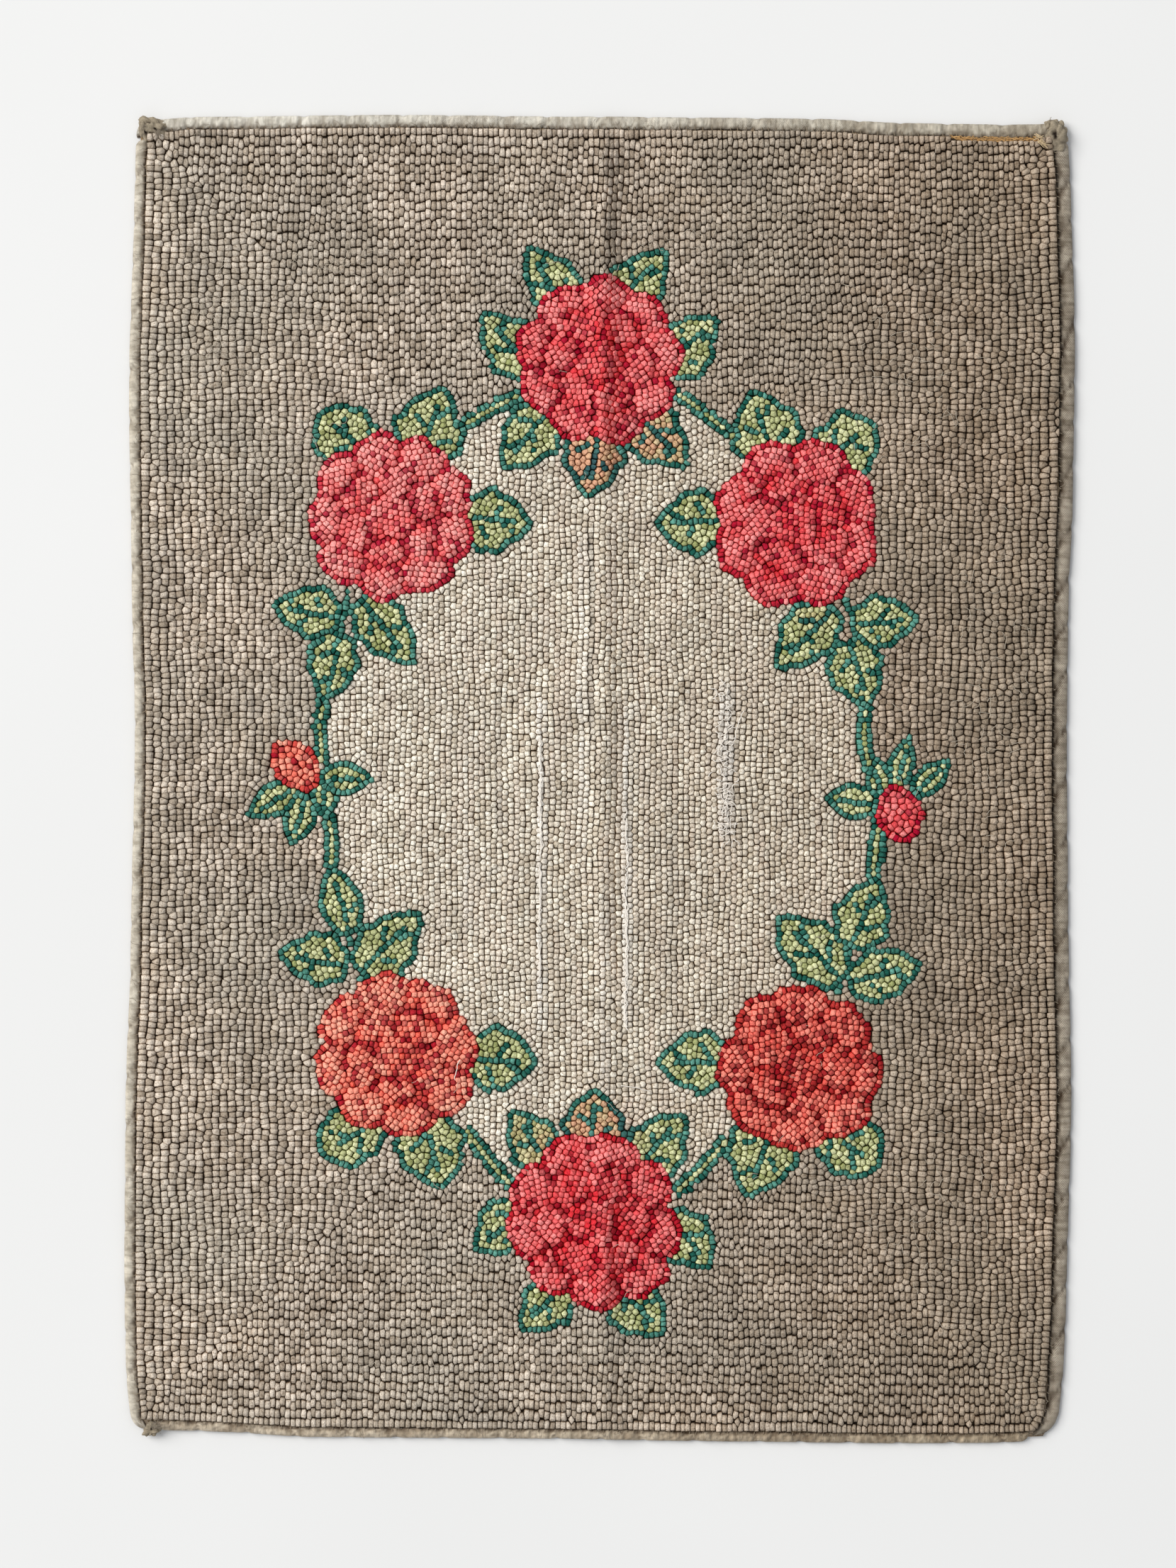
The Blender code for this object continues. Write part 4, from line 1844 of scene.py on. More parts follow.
class LoopPile:
    """The hooked loops of the rug, one joined mesh for each zone."""

    DIRECTIONS = 48
    SWELL = 1.035
    ROUND = 1.07
    TILT = math.radians(54)
    RELIEF = 1.4
    FOLD_X = 0.002
    FOLD_HALF = 0.010
    DEPTH = 0.0031
    EDGE_DEPTH = 0.0060
    EDGE_BAND = 0.007
    SLOPE_STEP = 0.0028
    STEEPEST = 0.40
    SMOOTHING = 3
    FAINT_FOLD = 0.16
    # stretches of the middle crease: low end, high end, strength
    FOLDS = ((0.215, 0.490, 0.75), (-0.160, 0.215, 0.40), (-0.420, -0.290, 0.65),
             (-0.490, -0.420, 0.35))
    SIDES = {Zone.LEFT: 8, Zone.RIGHT: 8, Zone.TOP: 8, Zone.BOTTOM: 8,
             Zone.MEDALLION: 6, Zone.ROSES: 6, Zone.LEAVES: 6}

    def __init__(self, shape: RugShape, layout: LoopLayout,
                 coloured: dict[Zone, bpy.types.Material], plain: bpy.types.Material) -> None:
        """Keep the layout and the finishes.

        Args:
            shape: the rug's edges and heights.
            layout: where every loop goes.
            coloured: finishes of the zones that have their own.
            plain: finish of the other zones.
        """
        self.shape, self.layout = shape, layout
        self.coloured, self.plain = coloured, plain
        self.random = random.Random(SEED + 1)
        self.dyes = DyePot()

    def zone_of(self, x: float, y: float, yarn: int) -> Zone:
        """The field that a loop belongs to.

        Args:
            x: the place.
            y: the place.
            yarn: what the loop is hooked with.

        Returns:
            The field.
        """
        if yarn == Yarn.IVORY.value:
            return Zone.MEDALLION
        if yarn in (Yarn.ROSE.value, Yarn.ROSE_RIM.value):
            return Zone.ROSES
        if yarn in (Yarn.TEAL.value, Yarn.LEAF.value):
            return Zone.LEAVES
        return Zone[self.shape.nearest_edge(x, y)[0].name]

    def crown_height(self, x: float, y: float, owner: int) -> float:
        """Height of a loop's crown over the panel's underside.

        Args:
            x: the place.
            y: the place.
            owner: the region that the loop belongs to.

        Returns:
            The height.
        """
        lift = self.random.uniform(-0.0007, 0.0005) + self.lump(x, y)
        if Design.ROSE <= owner < Design.BUD:
            lift += ROSES[owner - Design.ROSE].puff(x, y)
        elif owner >= Design.LEAF:
            lift += 0.0003
        elif owner == Design.IVORY:
            lift += 0.0012 * self.dyes.worn_and_sunk_line(x, y) - 0.0009
        return self.shape.PILE + lift

    def slope(self, x: float, y: float, owner: int) -> tuple[float, float]:
        """How the crowns tilt over the petals' swells and the pile's own lumps.

        Args:
            x: the loop's place.
            y: the loop's place.
            owner: the motif that it belongs to.

        Returns:
            Rise for each metre toward X and toward Y.
        """
        step = self.SLOPE_STEP
        if Design.ROSE <= owner < Design.BUD:
            swell = ROSES[owner - Design.ROSE].puff
            high = [swell(x + step, y), swell(x, y + step)]
            low = [swell(x - step, y), swell(x, y - step)]
        else:
            high = [self.lump(x + step, y), self.lump(x, y + step)]
            low = [self.lump(x - step, y), self.lump(x, y - step)]
        rise, climb = ((a - b) / (2 * step) for a, b in zip(high, low))
        crest = 2 * (x - self.FOLD_X) / self.FOLD_HALF * self.fold(x, y)
        rise = min(self.STEEPEST, max(-self.STEEPEST, rise))
        return rise - crest, min(self.STEEPEST, max(-self.STEEPEST, climb))

    def fold(self, x: float, y: float) -> float:
        """How strongly the rug's middle crease tilts the pile at a place.

        Args:
            x: the place.
            y: the place.

        Returns:
            The strength.
        """
        fade = self.FAINT_FOLD
        for low, high, strength in self.FOLDS:
            if low < y < high:
                fade = max(fade, strength * min(1.0, (y - low) / 0.03 + 0.3, (high - y) / 0.03))
        return fade * math.exp(-((x - self.FOLD_X) / self.FOLD_HALF) ** 2)

    def in_edge_band(self, x: float, y: float) -> bool:
        """True for the loops nearest a tape, whose sides show and so reach deeper."""
        return self.shape.nearest_edge(x, y)[1] < self.EDGE_BAND

    def lump(self, x: float, y: float) -> float:
        """Height of the pile's own unevenness."""
        return 0.0008 * drift(x, y, 0.02, 9.3) + 0.0005 * drift(x, y, 0.009, 9.8)

    def build(self) -> list[bpy.types.Object]:
        """Make every zone's piece.

        Returns:
            What was made.
        """
        layout = self.layout
        spread = layout.room(self.DIRECTIONS)
        groups = {zone: [] for zone in Zone}
        dyes, feet, crowns, slopes = [], [], [], []
        for index in range(len(layout.x)):
            x, y = layout.x[index], layout.y[index]
            yarn, owner = layout.yarn[index], layout.owner[index]
            groups[self.zone_of(x, y, yarn)].append(index)
            dyes.append(self.dyes.colour(yarn, owner, x, y, self.random))
            crown = self.shape.underside(x, y) + self.crown_height(x, y, owner)
            at_edge = yarn == Yarn.GROUND.value and self.in_edge_band(x, y)
            crowns.append(crown)
            slopes.append(self.slope(x, y, owner))
            feet.append(crown - (self.EDGE_DEPTH if at_edge else self.DEPTH))
        data = (np.array(layout.x), np.array(layout.y), np.array(feet), np.array(crowns),
                np.array(dyes), spread, np.array(slopes))
        return [self.zone_piece(zone, np.array(ids), data) for zone, ids in groups.items()]

    def zone_piece(self, zone: Zone, ids: np.ndarray, data: tuple) -> bpy.types.Object:
        """Join copies of one loop, each spread to fill its own room.

        Args:
            zone: the field of loops.
            ids: which loops it has.
            data: places, heights, dyes, room and slopes of all loops.

        Returns:
            The piece.
        """
        xs, ys, feet, crowns, dyes, spread, slopes = (item[ids] for item in data)
        points, faces = Pillow(self.SIDES[zone]).mesh()
        draw = np.random.default_rng(SEED + len(ids))
        count, size = len(ids), len(points)
        sides = self.SIDES[zone]
        reach, heading = self.corners(spread, sides)
        radius = np.hypot(points[:, 0], points[:, 1])
        corner = np.floor(np.arctan2(points[:, 1], points[:, 0]) / math.tau * sides + 0.01)
        corner = corner.astype(int) % sides
        angle = heading[:, corner]
        uneven = 1 + draw.uniform(-0.03, 0.03, (count, sides))[:, corner]
        away = radius[None, :] * reach[:, corner] * self.SWELL * uneven
        height = points[:, 2][None, :] * np.ones((count, 1))
        lean = draw.uniform(-0.0004, 0.0004, (count, 2))
        co = np.empty((count, size, 3))
        co[:, :, 0] = xs[:, None] + away * np.cos(angle) + lean[:, :1] * height
        co[:, :, 1] = ys[:, None] + away * np.sin(angle) + lean[:, 1:] * height
        rise = slopes[:, :1] * away * np.cos(angle) + slopes[:, 1:] * away * np.sin(angle)
        co[:, :, 2] = feet[:, None] + ((crowns - feet)[:, None] + rise) * height
        mesh = self.joined(zone.value, co.reshape(-1, 3), faces, count, size)
        uneven = draw.uniform(-0.25, 0.25, (count, size))
        normals = self.normals(points[:, 2], angle, slopes, uneven)
        mesh.normals_split_custom_set_from_vertices(normals.reshape(-1, 3))
        colours = np.ones((count, size, 4), dtype=np.float32)
        colours[:, :, :3] = dyes[:, None, :]
        layer = mesh.color_attributes.new("dye", "FLOAT_COLOR", "POINT")
        layer.data.foreach_set("color", colours.ravel())
        level = mesh.attributes.new("height", "FLOAT", "POINT")
        level.data.foreach_set("value", height.astype(np.float32).ravel())
        wool = self.coloured.get(zone, self.plain)
        return piece_from(zone.value, mesh, wool)

    def normals(self, level: np.ndarray, angle: np.ndarray, slopes: np.ndarray,
                uneven: np.ndarray) -> np.ndarray:
        """Directions that make each loop shade as a rounded knob.

        Args:
            level: height of each vertex of one loop, 0 at its foot and 1 at its crown.
            angle: heading of every vertex of every loop.
            slopes: how far each loop tilts toward X and Y.
            uneven: how far each vertex strays from the even rounding.

        Returns:
            One direction for every vertex of every loop.
        """
        tilt = np.where(level > 0.99, 0.0,
                        np.where(level > 0.1, self.TILT, math.pi / 2))[None, :]
        tilt = tilt * (1 + uneven * (tilt < 1))
        result = np.stack([np.sin(tilt) * np.cos(angle), np.sin(tilt) * np.sin(angle),
                           np.cos(tilt) * np.ones_like(angle)], axis=2)
        height = level[None, :, None] * np.ones((len(slopes), 1, 1))
        result[:, :, :2] -= self.RELIEF * slopes[:, None, :] * height
        return result / np.linalg.norm(result, axis=2, keepdims=True)

    def corners(self, spread: np.ndarray, sides: int) -> tuple[np.ndarray, np.ndarray]:
        """Cut each loop's room to the polygon that keeps most of its area.

        Args:
            spread: each loop's room in every direction.
            sides: corners of the polygon.

        Returns:
            Distance and direction of every corner.
        """
        count, width = len(spread), self.DIRECTIONS // sides
        eased = (spread + np.roll(spread, self.SMOOTHING, axis=1)
                 + np.roll(spread, -self.SMOOTHING, axis=1)) / 3
        rounded = np.minimum(spread, self.ROUND * eased)
        reach, heading = np.zeros((count, sides)), np.zeros((count, sides))
        largest = np.full(count, -1.0)
        for start in range(width):
            turned = np.roll(spread, -start, axis=1).reshape(count, sides, width)
            softened = np.roll(rounded, -start, axis=1).reshape(count, sides, width)
            pick = turned.argmax(axis=2)
            far = np.take_along_axis(softened, pick[:, :, None], axis=2)[:, :, 0]
            turn = np.arange(sides)[None, :] * width + pick + start
            angle = turn * math.tau / self.DIRECTIONS
            gap = np.roll(angle, -1, axis=1) - angle
            gap[:, -1] += math.tau
            area = (far * np.roll(far, -1, axis=1) * np.sin(gap)).sum(axis=1)
            better = area > largest
            largest[better] = area[better]
            reach[better] = far[better]
            heading[better] = angle[better]
        return reach, heading

    def joined(self, name: str, co: np.ndarray, faces: list[tuple[int, ...]], count: int,
               size: int) -> bpy.types.Mesh:
        """One mesh of many copies of the same faces over moved vertices.

        Args:
            name: its name.
            co: where every vertex goes.
            faces: the faces of one copy.
            count: how many copies.
            size: how many vertices one copy has.

        Returns:
            The mesh.
        """
        corners = np.concatenate([np.array(face) for face in faces])
        starts = np.cumsum([0] + [len(face) for face in faces])[:-1]
        rows = np.arange(count)[:, None]
        mesh = bpy.data.meshes.new(name)
        mesh.vertices.add(count * size)
        mesh.loops.add(count * len(corners))
        mesh.polygons.add(count * len(faces))
        mesh.vertices.foreach_set("co", co.astype(np.float32).ravel())
        mesh.loops.foreach_set("vertex_index", (rows * size + corners[None, :]).ravel())
        mesh.polygons.foreach_set("loop_start", (rows * len(corners) + starts[None, :]).ravel())
        mesh.update(calc_edges=True)
        mesh.validate()
        mesh.shade_smooth()
        return mesh


# ---- backing ----------------------------------------------------------------------------
@dataclass
class Backing:
    """The burlap that the loops are pulled through."""

    shape: RugShape
    design: Design
    columns: int = 45
    rows: int = 63
    inset: float = 0.0036
    thickness: float = 0.0017

    def build(self, burlap: bpy.types.Material) -> bpy.types.Object:
        """Model the sheet inside the fold of the tapes.

        Args:
            burlap: the finish.

        Returns:
            What was made.
        """
        bm = bmesh.new()
        bmesh.ops.create_grid(bm, x_segments=self.columns - 1, y_segments=self.rows - 1,
                              size=1.0)
        edges = self.shape.edges
        tints = []
        pot = DyePot()
        for vertex in bm.verts:
            u, v = (vertex.co.x + 1) / 2, (vertex.co.y + 1) / 2
            y = -0.49 + 0.98 * v
            left = -float(edges[Edge.LEFT].outer(y)) + self.inset
            right = float(edges[Edge.RIGHT].outer(y)) - self.inset
            x = left + (right - left) * u
            low = -float(edges[Edge.BOTTOM].outer(x)) + self.inset
            high = float(edges[Edge.TOP].outer(x)) - self.inset
            y = low + (high - low) * v
            vertex.co = (x, y, self.shape.underside(x, y))
            tints.append(self.tint(x, y, pot))
        mesh = smooth_mesh("burlap_backing", bm)
        layer = mesh.color_attributes.new("dye", "FLOAT_COLOR", "POINT")
        for item, tint in zip(layer.data, tints):
            item.color = (*tint, 1.0)
        obj = piece_from("burlap_backing", mesh, burlap)
        thicken(obj, self.thickness, 1.0)
        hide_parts("hooked_panel")
        return obj

    def tint(self, x: float, y: float, pot: DyePot) -> Colour:
        """Colour of the loops over a place.

        Args:
            x: the place.
            y: the place.
            pot: the rug's dyes.

        Returns:
            The colour.
        """
        region = self.design.at(x, y)
        if region == Design.GROUND:
            return pot.ground_deep
        if region == Design.IVORY:
            return pot.ivory_deep
        if region < Design.ROSE or region == Design.STEM:
            return pot.leaf_deep
        return PINK_RED.deep


# ---- binding tapes ----------------------------------------------------------------------
@dataclass
class BindingTape:
    """A cotton tape folded over one edge and stitched down, puckered by its stitches."""

    line: EdgeLine
    cloth: TapeCloth
    pucker: float
    twist: float
    fold: float
    step: float = 0.0018
    thickness: float = 0.0009

    ROUNDED = 0.0060

    # columns: part of the way across (face width for the face, whole for the back), height
    SECTION = (
        (1.00, 0.0036), (0.96, 0.0044), (0.84, 0.0051), (0.66, 0.0055), (0.46, 0.0056),
        (0.28, 0.0053), (0.13, 0.0044), (0.03, 0.0032), (0.00, 0.0021), (0.04, 0.0009),
        (0.16, 0.0002), (0.55, 0.0000), (1.05, 0.0000),
    )

    def build(self) -> bpy.types.Object:
        """Model the folded strip and give it its thickness.

        Returns:
            What was made.
        """
        start, end = self.line.span()
        columns = int((end - start) / self.step) + 1
        rows = len(self.SECTION)
        bm = bmesh.new()
        bmesh.ops.create_grid(bm, x_segments=columns - 1, y_segments=rows - 1, size=1.0)
        uv_layer = bm.loops.layers.uv.new("tape")
        wear_and_shade_layer = bm.verts.layers.float.new("wear_and_shade")
        width = self.line.width()
        flips = self.line.edge in (Edge.RIGHT, Edge.BOTTOM)
        for vertex in bm.verts:
            column = round((vertex.co.x + 1) / 2 * (columns - 1))
            row = round((vertex.co.y + 1) / 2 * (rows - 1))
            part = column / (columns - 1)
            along = start + (end - start) * ((1 - part) if flips else part)
            for loop in vertex.link_loops:
                loop[uv_layer].uv = (along, row / (rows - 1) * 0.026)
            share, height = self.SECTION[row]
            inward, height, wear_and_shade = self.shaped(along, share, height, row, width)
            x, y = self.line.place(along, inward)
            vertex.co = (x, y, height + float(self.line.lift(along)))
            vertex[wear_and_shade_layer] = wear_and_shade
        mesh = smooth_mesh(f"{self.line.node}_tape", bm)
        obj = piece_from(mesh.name, mesh, self.cloth.material())
        thicken(obj, self.thickness, -1.0)
        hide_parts(self.line.node)
        return obj

    def shaped(self, along: float, share: float, height: float, row: int,
               width: float) -> tuple[float, float, float]:
        """Pucker and pinch one point of the strip.

        Args:
            along: place along the edge.
            share: part of the way across the fold.
            height: height in the plain section.
            row: which line of the section it is.
            width: width of the tape on the face.

        Returns:
            Distance inward, height, and how worn (1) or grubby and in painted shade (0) the cloth
            is there.
        """
        layer = self.line.edge.outward + 4 * self.line.edge.upright
        face = width * (1 + 0.12 * drift(along, 0.0, 0.04, layer + 0.3))
        inward = share * face
        on_face = max(0.0, 1 - row / 9) ** 0.5
        near_seam = max(0.0, 1 - row / 4)
        skew = along + self.twist * inward * 0.9 + 0.0012 * drift(along, share, 0.02, layer + 7.7)
        puff = min(1.0, 2.4 * abs(drift(skew, share * 0.3, self.fold, layer + 1.4)))
        small = drift(along, share * 0.012, 0.0035, layer + 2.8)
        middle = 4 * share * (1 - share) if share < 1 else 0.0
        height += on_face * self.pucker * ((puff - 0.45) * (0.35 + 0.65 * middle) + 0.35 * small)
        inward += self.pucker * (0.25 * (puff - 0.5) * near_seam - 0.06 * (puff - 0.6)
                                 * (4 < row < 11))
        slant = (along + self.twist * inward * 1.5) / 0.038
        pinch = max(0.0, math.cos(math.tau * slant + 2.2 * drift(along, 0.0, 0.07, layer + 0.6)))
        if self.twist:
            height -= on_face * 0.0016 * pinch ** 8
            inward += 0.0006 * pinch ** 8 * (2 < row < 11)
        start, end = self.line.span()
        tip = min(along - start, end - along)
        if tip < self.ROUNDED:
            back = self.ROUNDED - math.sqrt(max(0.0, self.ROUNDED ** 2
                                                - (self.ROUNDED - tip) ** 2))
            inward += back * (1 - min(share, 1.0))
            height *= 0.72 + 0.28 * (tip / self.ROUNDED)
        # Low values are grime near the stitches, and painted shade on the back under the fold,
        # along the fold's edge, in the pucker valleys and at the pinches.
        wear_and_shade = 1.15 - near_seam * 0.95 - (0.8 if row > 8 else 0.0) - (0.35 if row == 8 else 0.0)
        wear_and_shade -= 0.50 * (1 - puff) + 0.55 * pinch ** 8 * abs(self.twist)
        return inward, max(height, 0.0), min(1.0, max(0.0, wear_and_shade))


# ---- threads ----------------------------------------------------------------------------
def threads(name: str, lines: list[list[Vector]], radius: float,
            material: bpy.types.Material, slot: str) -> bpy.types.Object:
    """Make many thin threads as one mesh.

    Args:
        name: the piece's name.
        lines: the points that each thread passes through.
        radius: half the thread's diameter.
        material: its finish.
        slot: not used.

    Returns:
        The finished piece.
    """
    curve = bpy.data.curves.new(name, "CURVE")
    curve.dimensions = "3D"
    curve.bevel_depth = radius
    curve.bevel_resolution = 0
    curve.use_fill_caps = True
    for line in lines:
        spline = curve.splines.new("POLY")
        spline.points.add(len(line) - 1)
        for point, place in zip(spline.points, line):
            point.co = (*place, 1.0)
    holder = bpy.data.objects.new(name, curve)
    bpy.context.scene.collection.objects.link(holder)
    graph = bpy.context.evaluated_depsgraph_get()
    mesh = bpy.data.meshes.new_from_object(holder.evaluated_get(graph))
    bpy.data.objects.remove(holder)
    bpy.data.curves.remove(curve)
    mesh.materials.clear()
    mesh.shade_smooth()
    obj = piece_from(name, mesh, material)
    obj.data.name = name
    return obj


@dataclass
class Threads:
    """Stitches, open seam, worn ridges, loose fibres and frayed ends."""

    shape: RugShape
    draw: random.Random = field(default_factory=lambda: random.Random(SEED + 2))

    # places where the pile is rubbed and matted: centre x, y, half width, half height, hairs
    MATTED = (
        (-0.190, 0.385, 0.050, 0.020, 44), (-0.290, 0.330, 0.022, 0.060, 44),
        (-0.300, 0.120, 0.016, 0.110, 36), (-0.235, 0.250, 0.040, 0.030, 30),
        (0.060, 0.405, 0.090, 0.018, 34), (0.230, 0.300, 0.050, 0.060, 60),
        (0.290, 0.060, 0.028, 0.150, 64), (0.250, -0.320, 0.060, 0.060, 50),
        (0.020, -0.430, 0.200, 0.026, 50), (-0.270, -0.340, 0.040, 0.080, 40),
        (0.000, -0.040, 0.130, 0.200, 50), (0.050, 0.110, 0.060, 0.060, 20),
    )
    # worn ridges of flattened yarn: x, low end, high end, half width
    RIDGES = ((0.020, -0.190, -0.020, 0.0010), (-0.0445, -0.150, 0.030, 0.0008))
    # tufts: x, y, heading, spread, number of fibres, usual length
    BURST = ((0.331, 0.4785, 3.0, 0.8, 7, 0.006), (0.328, 0.4770, 5.4, 0.5, 7, 0.007))
    FRAYED = (
        (0.336, 0.490, 1.6, 0.9, 4, 0.002), (-0.340, 0.4870, 2.4, 1.0, 8, 0.003),
        (-0.331, 0.4840, 5.0, 1.2, 16, 0.006), (-0.333, -0.4850, 0.9, 1.3, 22, 0.007),
        (-0.300, 0.483, 4.7, 0.8, 7, 0.005), (0.310, -0.470, 1.2, 1.2, 6, 0.005),
    )
    END_CLEAR = 0.008

    def over_pile(self, x: float, y: float, height: float) -> Vector:
        """A point over the pile's crowns."""
        return Vector((x, y, self.shape.underside(x, y) + self.shape.PILE + height))

    def hair(self, x: float, y: float, length: float, curl: float, lift: float,
             points: int = 4, heading: float = -1.0) -> list[Vector]:
        """One loose fibre.

        Args:
            x: where it starts.
            y: where it starts.
            length: its length.
            curl: how sharply it turns between points.
            lift: how high its middle stands over the crowns.
            points: how many points it has.
            heading: its first direction, or any when below zero.

        Returns:
            The fibre's points.
        """
        if heading < 0:
            heading = self.draw.uniform(0, math.tau)
        line = []
        for step in range(points):
            height = 0.0002 + lift * math.sin(math.pi * step / (points - 1))
            line.append(self.over_pile(x, y, height))
            heading += self.draw.uniform(-curl, curl)
            x += math.cos(heading) * length / (points - 1)
            y += math.sin(heading) * length / (points - 1)
        return line

    def whip_stitches(self) -> list[list[Vector]]:
        """Short slanted stitches that hold each tape's inner edge down.

        Returns:
            The points of each thread.
        """
        lines = []
        for edge, line in self.shape.edges.items():
            start, end = line.span()
            width, along = line.width(), start + self.END_CLEAR
            while along < end - self.END_CLEAR:
                lift = float(line.lift(along))
                slant = 0.0014 if edge.upright else 0.0006
                points = []
                for inward, shift, height in ((width - 0.0024, 0.0, 0.0054),
                                              (width - 0.0012, 0.4, 0.0058),
                                              (width + 0.0006, 1.0, 0.0044)):
                    x, y = line.place(along + shift * slant, inward)
                    points.append(Vector((x, y, height + lift)))
                lines.append(points)
                along += 0.0060 * self.draw.uniform(0.8, 1.25)
        return lines

    def stray_fibres(self, count: int) -> list[list[Vector]]:
        """Fine hairs lying across the loops, thickest where the pile is matted.

        Args:
            count: how many fibres.

        Returns:
            The points of each thread.
        """
        lines = []
        for _ in range(count):
            x, y = self.draw.uniform(-0.325, 0.325), self.draw.uniform(-0.475, 0.475)
            lines.append(self.hair(x, y, self.draw.uniform(0.004, 0.012), 0.8, 0.0007))
        for middle_x, middle_y, half_x, half_y, hairs in self.MATTED:
            for _ in range(hairs):
                x = self.draw.gauss(middle_x, half_x / 2)
                y = self.draw.gauss(middle_y, half_y / 2)
                if abs(x) < 0.33 and abs(y) < 0.47:
                    lines.append(self.hair(x, y, self.draw.uniform(0.006, 0.014), 1.2, 0.0009))
        return lines

    def tape_fuzz(self, count: int) -> list[list[Vector]]:
        """Grubby frayed cotton along the tapes' inner edges.

        Args:
            count: how many fibres.

        Returns:
            The points of each thread.
        """
        lines = []
        for _ in range(count):
            edge = self.draw.choice((Edge.LEFT, Edge.LEFT, Edge.LEFT, Edge.RIGHT, Edge.TOP,
                                     Edge.BOTTOM))
            line = self.shape.edges[edge]
            start, end = line.span()
            along = self.draw.uniform(start + self.END_CLEAR, end - self.END_CLEAR)
            x, y = line.place(along, line.width() - self.draw.uniform(0.0, 0.0016))
            out = line.place(along + 0.002, 0.0)
            heading = math.atan2(out[1] - y, out[0] - x) + self.draw.uniform(-1.3, 1.3)
            lines.append(self.hair(x, y, self.draw.uniform(0.003, 0.007), 0.9, 0.0008, 4,
                                   heading % math.tau))
        return lines

    def worn_ridges(self) -> list[list[Vector]]:
        """Flattened, felted yarn standing along the worn upright lines.

        Returns:
            The points of each thread.
        """
        lines = []
        for ridge_x, low, high, half in self.RIDGES:
            for strand in range(7):
                y, line = low + self.draw.uniform(0, 0.01), []
                while y < high:
                    sway = 0.0012 * drift(ridge_x, y, 0.03, 2.2) + self.draw.gauss(0, half * 0.8)
                    sunk = 0.0010 * drift(ridge_x, y, 0.012, 3.1 + strand)
                    line.append(self.over_pile(ridge_x + sway, y, sunk - 0.0002))
                    y += self.draw.uniform(0.0018, 0.0040)
                    if drift(ridge_x, y, 0.018, 5.1 + 0.2 * strand) < -0.16 and len(line) > 2:
                        lines.append(line)
                        line = []
                        y += self.draw.uniform(0.004, 0.014)
                if len(line) > 2:
                    lines.append(line)
        return lines

    def frayed_patch(self, count: int) -> list[list[Vector]]:
        """Broken loops pulled out in a patch, with two long loose threads.

        Args:
            count: how many fibres.

        Returns:
            The points of each thread.
        """
        lines = []
        for _ in range(count):
            y = self.draw.uniform(-0.047, 0.070)
            x = 0.0935 + 0.004 * drift(0.0, y, 0.02, 1.7) + self.draw.gauss(0.0, 0.0032)
            lines.append(self.hair(x, y, self.draw.uniform(0.004, 0.008), 0.9, 0.0012, 6))
        lines.append(self.hair(0.108, 0.051, 0.026, 0.5, 0.0022, 10, 3.6))
        lines.append(self.hair(0.016, -0.229, 0.022, 0.6, 0.0018, 9, 6.1))
        lines.append(self.hair(-0.108, -0.225, 0.016, 0.6, 0.0016, 8, 1.2))
        return lines

    def open_seam(self) -> list[list[Vector]]:
        """Orange-tan yarn laid bare where the top tape's seam has opened.

        Returns:
            The points of each thread.
        """
        lines = []
        line = self.shape.edges[Edge.TOP]
        for strand in range(8):
            points = []
            for x in np.linspace(self.shape.SEAM_START, self.shape.SEAM_END, 44):
                fade = min(1.0, (x - self.shape.SEAM_START) / 0.02 + 0.2)
                inward = line.width() + 0.0001 + strand * 0.00050 * fade
                _x, y = line.place(float(x), inward)
                wobble = self.draw.uniform(-0.0009, 0.0009)
                points.append(Vector((float(x), y + wobble,
                                      0.0050 + self.draw.uniform(-0.0005, 0.0009))))
            lines.append(points)
        return lines

    def strand_burst(self) -> list[list[Vector]]:
        """Cream strands that fan out at the end of the open seam."""
        return [line for place in self.BURST for line in self.tuft(*place)]

    def frayed_ends(self) -> list[list[Vector]]:
        """Grubby cotton ends at the worn corners."""
        return [line for place in self.FRAYED for line in self.tuft(*place)]

    def tuft(self, x: float, y: float, heading: float, spread: float, count: int,
             reach: float) -> list[list[Vector]]:
        """Fibres that fan out from one place.

        Args:
            x: the place.
            y: the place.
            heading: the middle direction of the fan.
            spread: how wide it fans.
            count: how many fibres.
            reach: their usual length.

        Returns:
            The fibres' points.
        """
        lines = []
        for _ in range(count):
            way = (heading + self.draw.gauss(0, spread / 2)) % math.tau
            lines.append(self.hair(x + self.draw.gauss(0, 0.0012), y + self.draw.gauss(0, 0.0010),
                                   reach * self.draw.uniform(0.6, 1.2), 0.35, 0.0012, 4, way))
        return lines

    def build(self) -> list[bpy.types.Object]:
        """Make every set of threads.

        Returns:
            What was made.
        """
        cotton = SewingThread("whip_thread", linear(186, 170, 146), linear(112, 96, 76))
        hair = SewingThread("wool_fibre", linear(222, 212, 194), linear(168, 154, 134))
        white = SewingThread("worn_wool", linear(255, 251, 243), linear(238, 226, 212))
        cream = SewingThread("cream_strand", linear(236, 214, 176), linear(188, 160, 118))
        orange = SewingThread("orange_yarn", linear(232, 190, 130), linear(184, 136, 78))
        dingy = SewingThread("grubby_cotton", linear(176, 164, 146), linear(96, 82, 68))
        return [
            threads("whip_stitches", self.whip_stitches(), 0.00028, cotton.material(),
                    "binding_tape"),
            threads("stray_fibres", self.stray_fibres(150), 0.00017, hair.material(),
                    "hooked_loops"),
            threads("tape_fuzz", self.tape_fuzz(210) + self.frayed_ends(), 0.00016,
                    dingy.material(), "binding_tape"),
            threads("frayed_patch", self.frayed_patch(110), 0.00034, white.material(),
                    "hooked_loops"),
            threads("open_seam", self.open_seam(), 0.00032, orange.material(),
                    "binding_tape"),
            threads("strand_burst", self.strand_burst(), 0.00030, cream.material(),
                    "binding_tape"),
            threads("worn_ridges", self.worn_ridges(), 0.00042, white.material(),
                    "hooked_loops"),
        ]


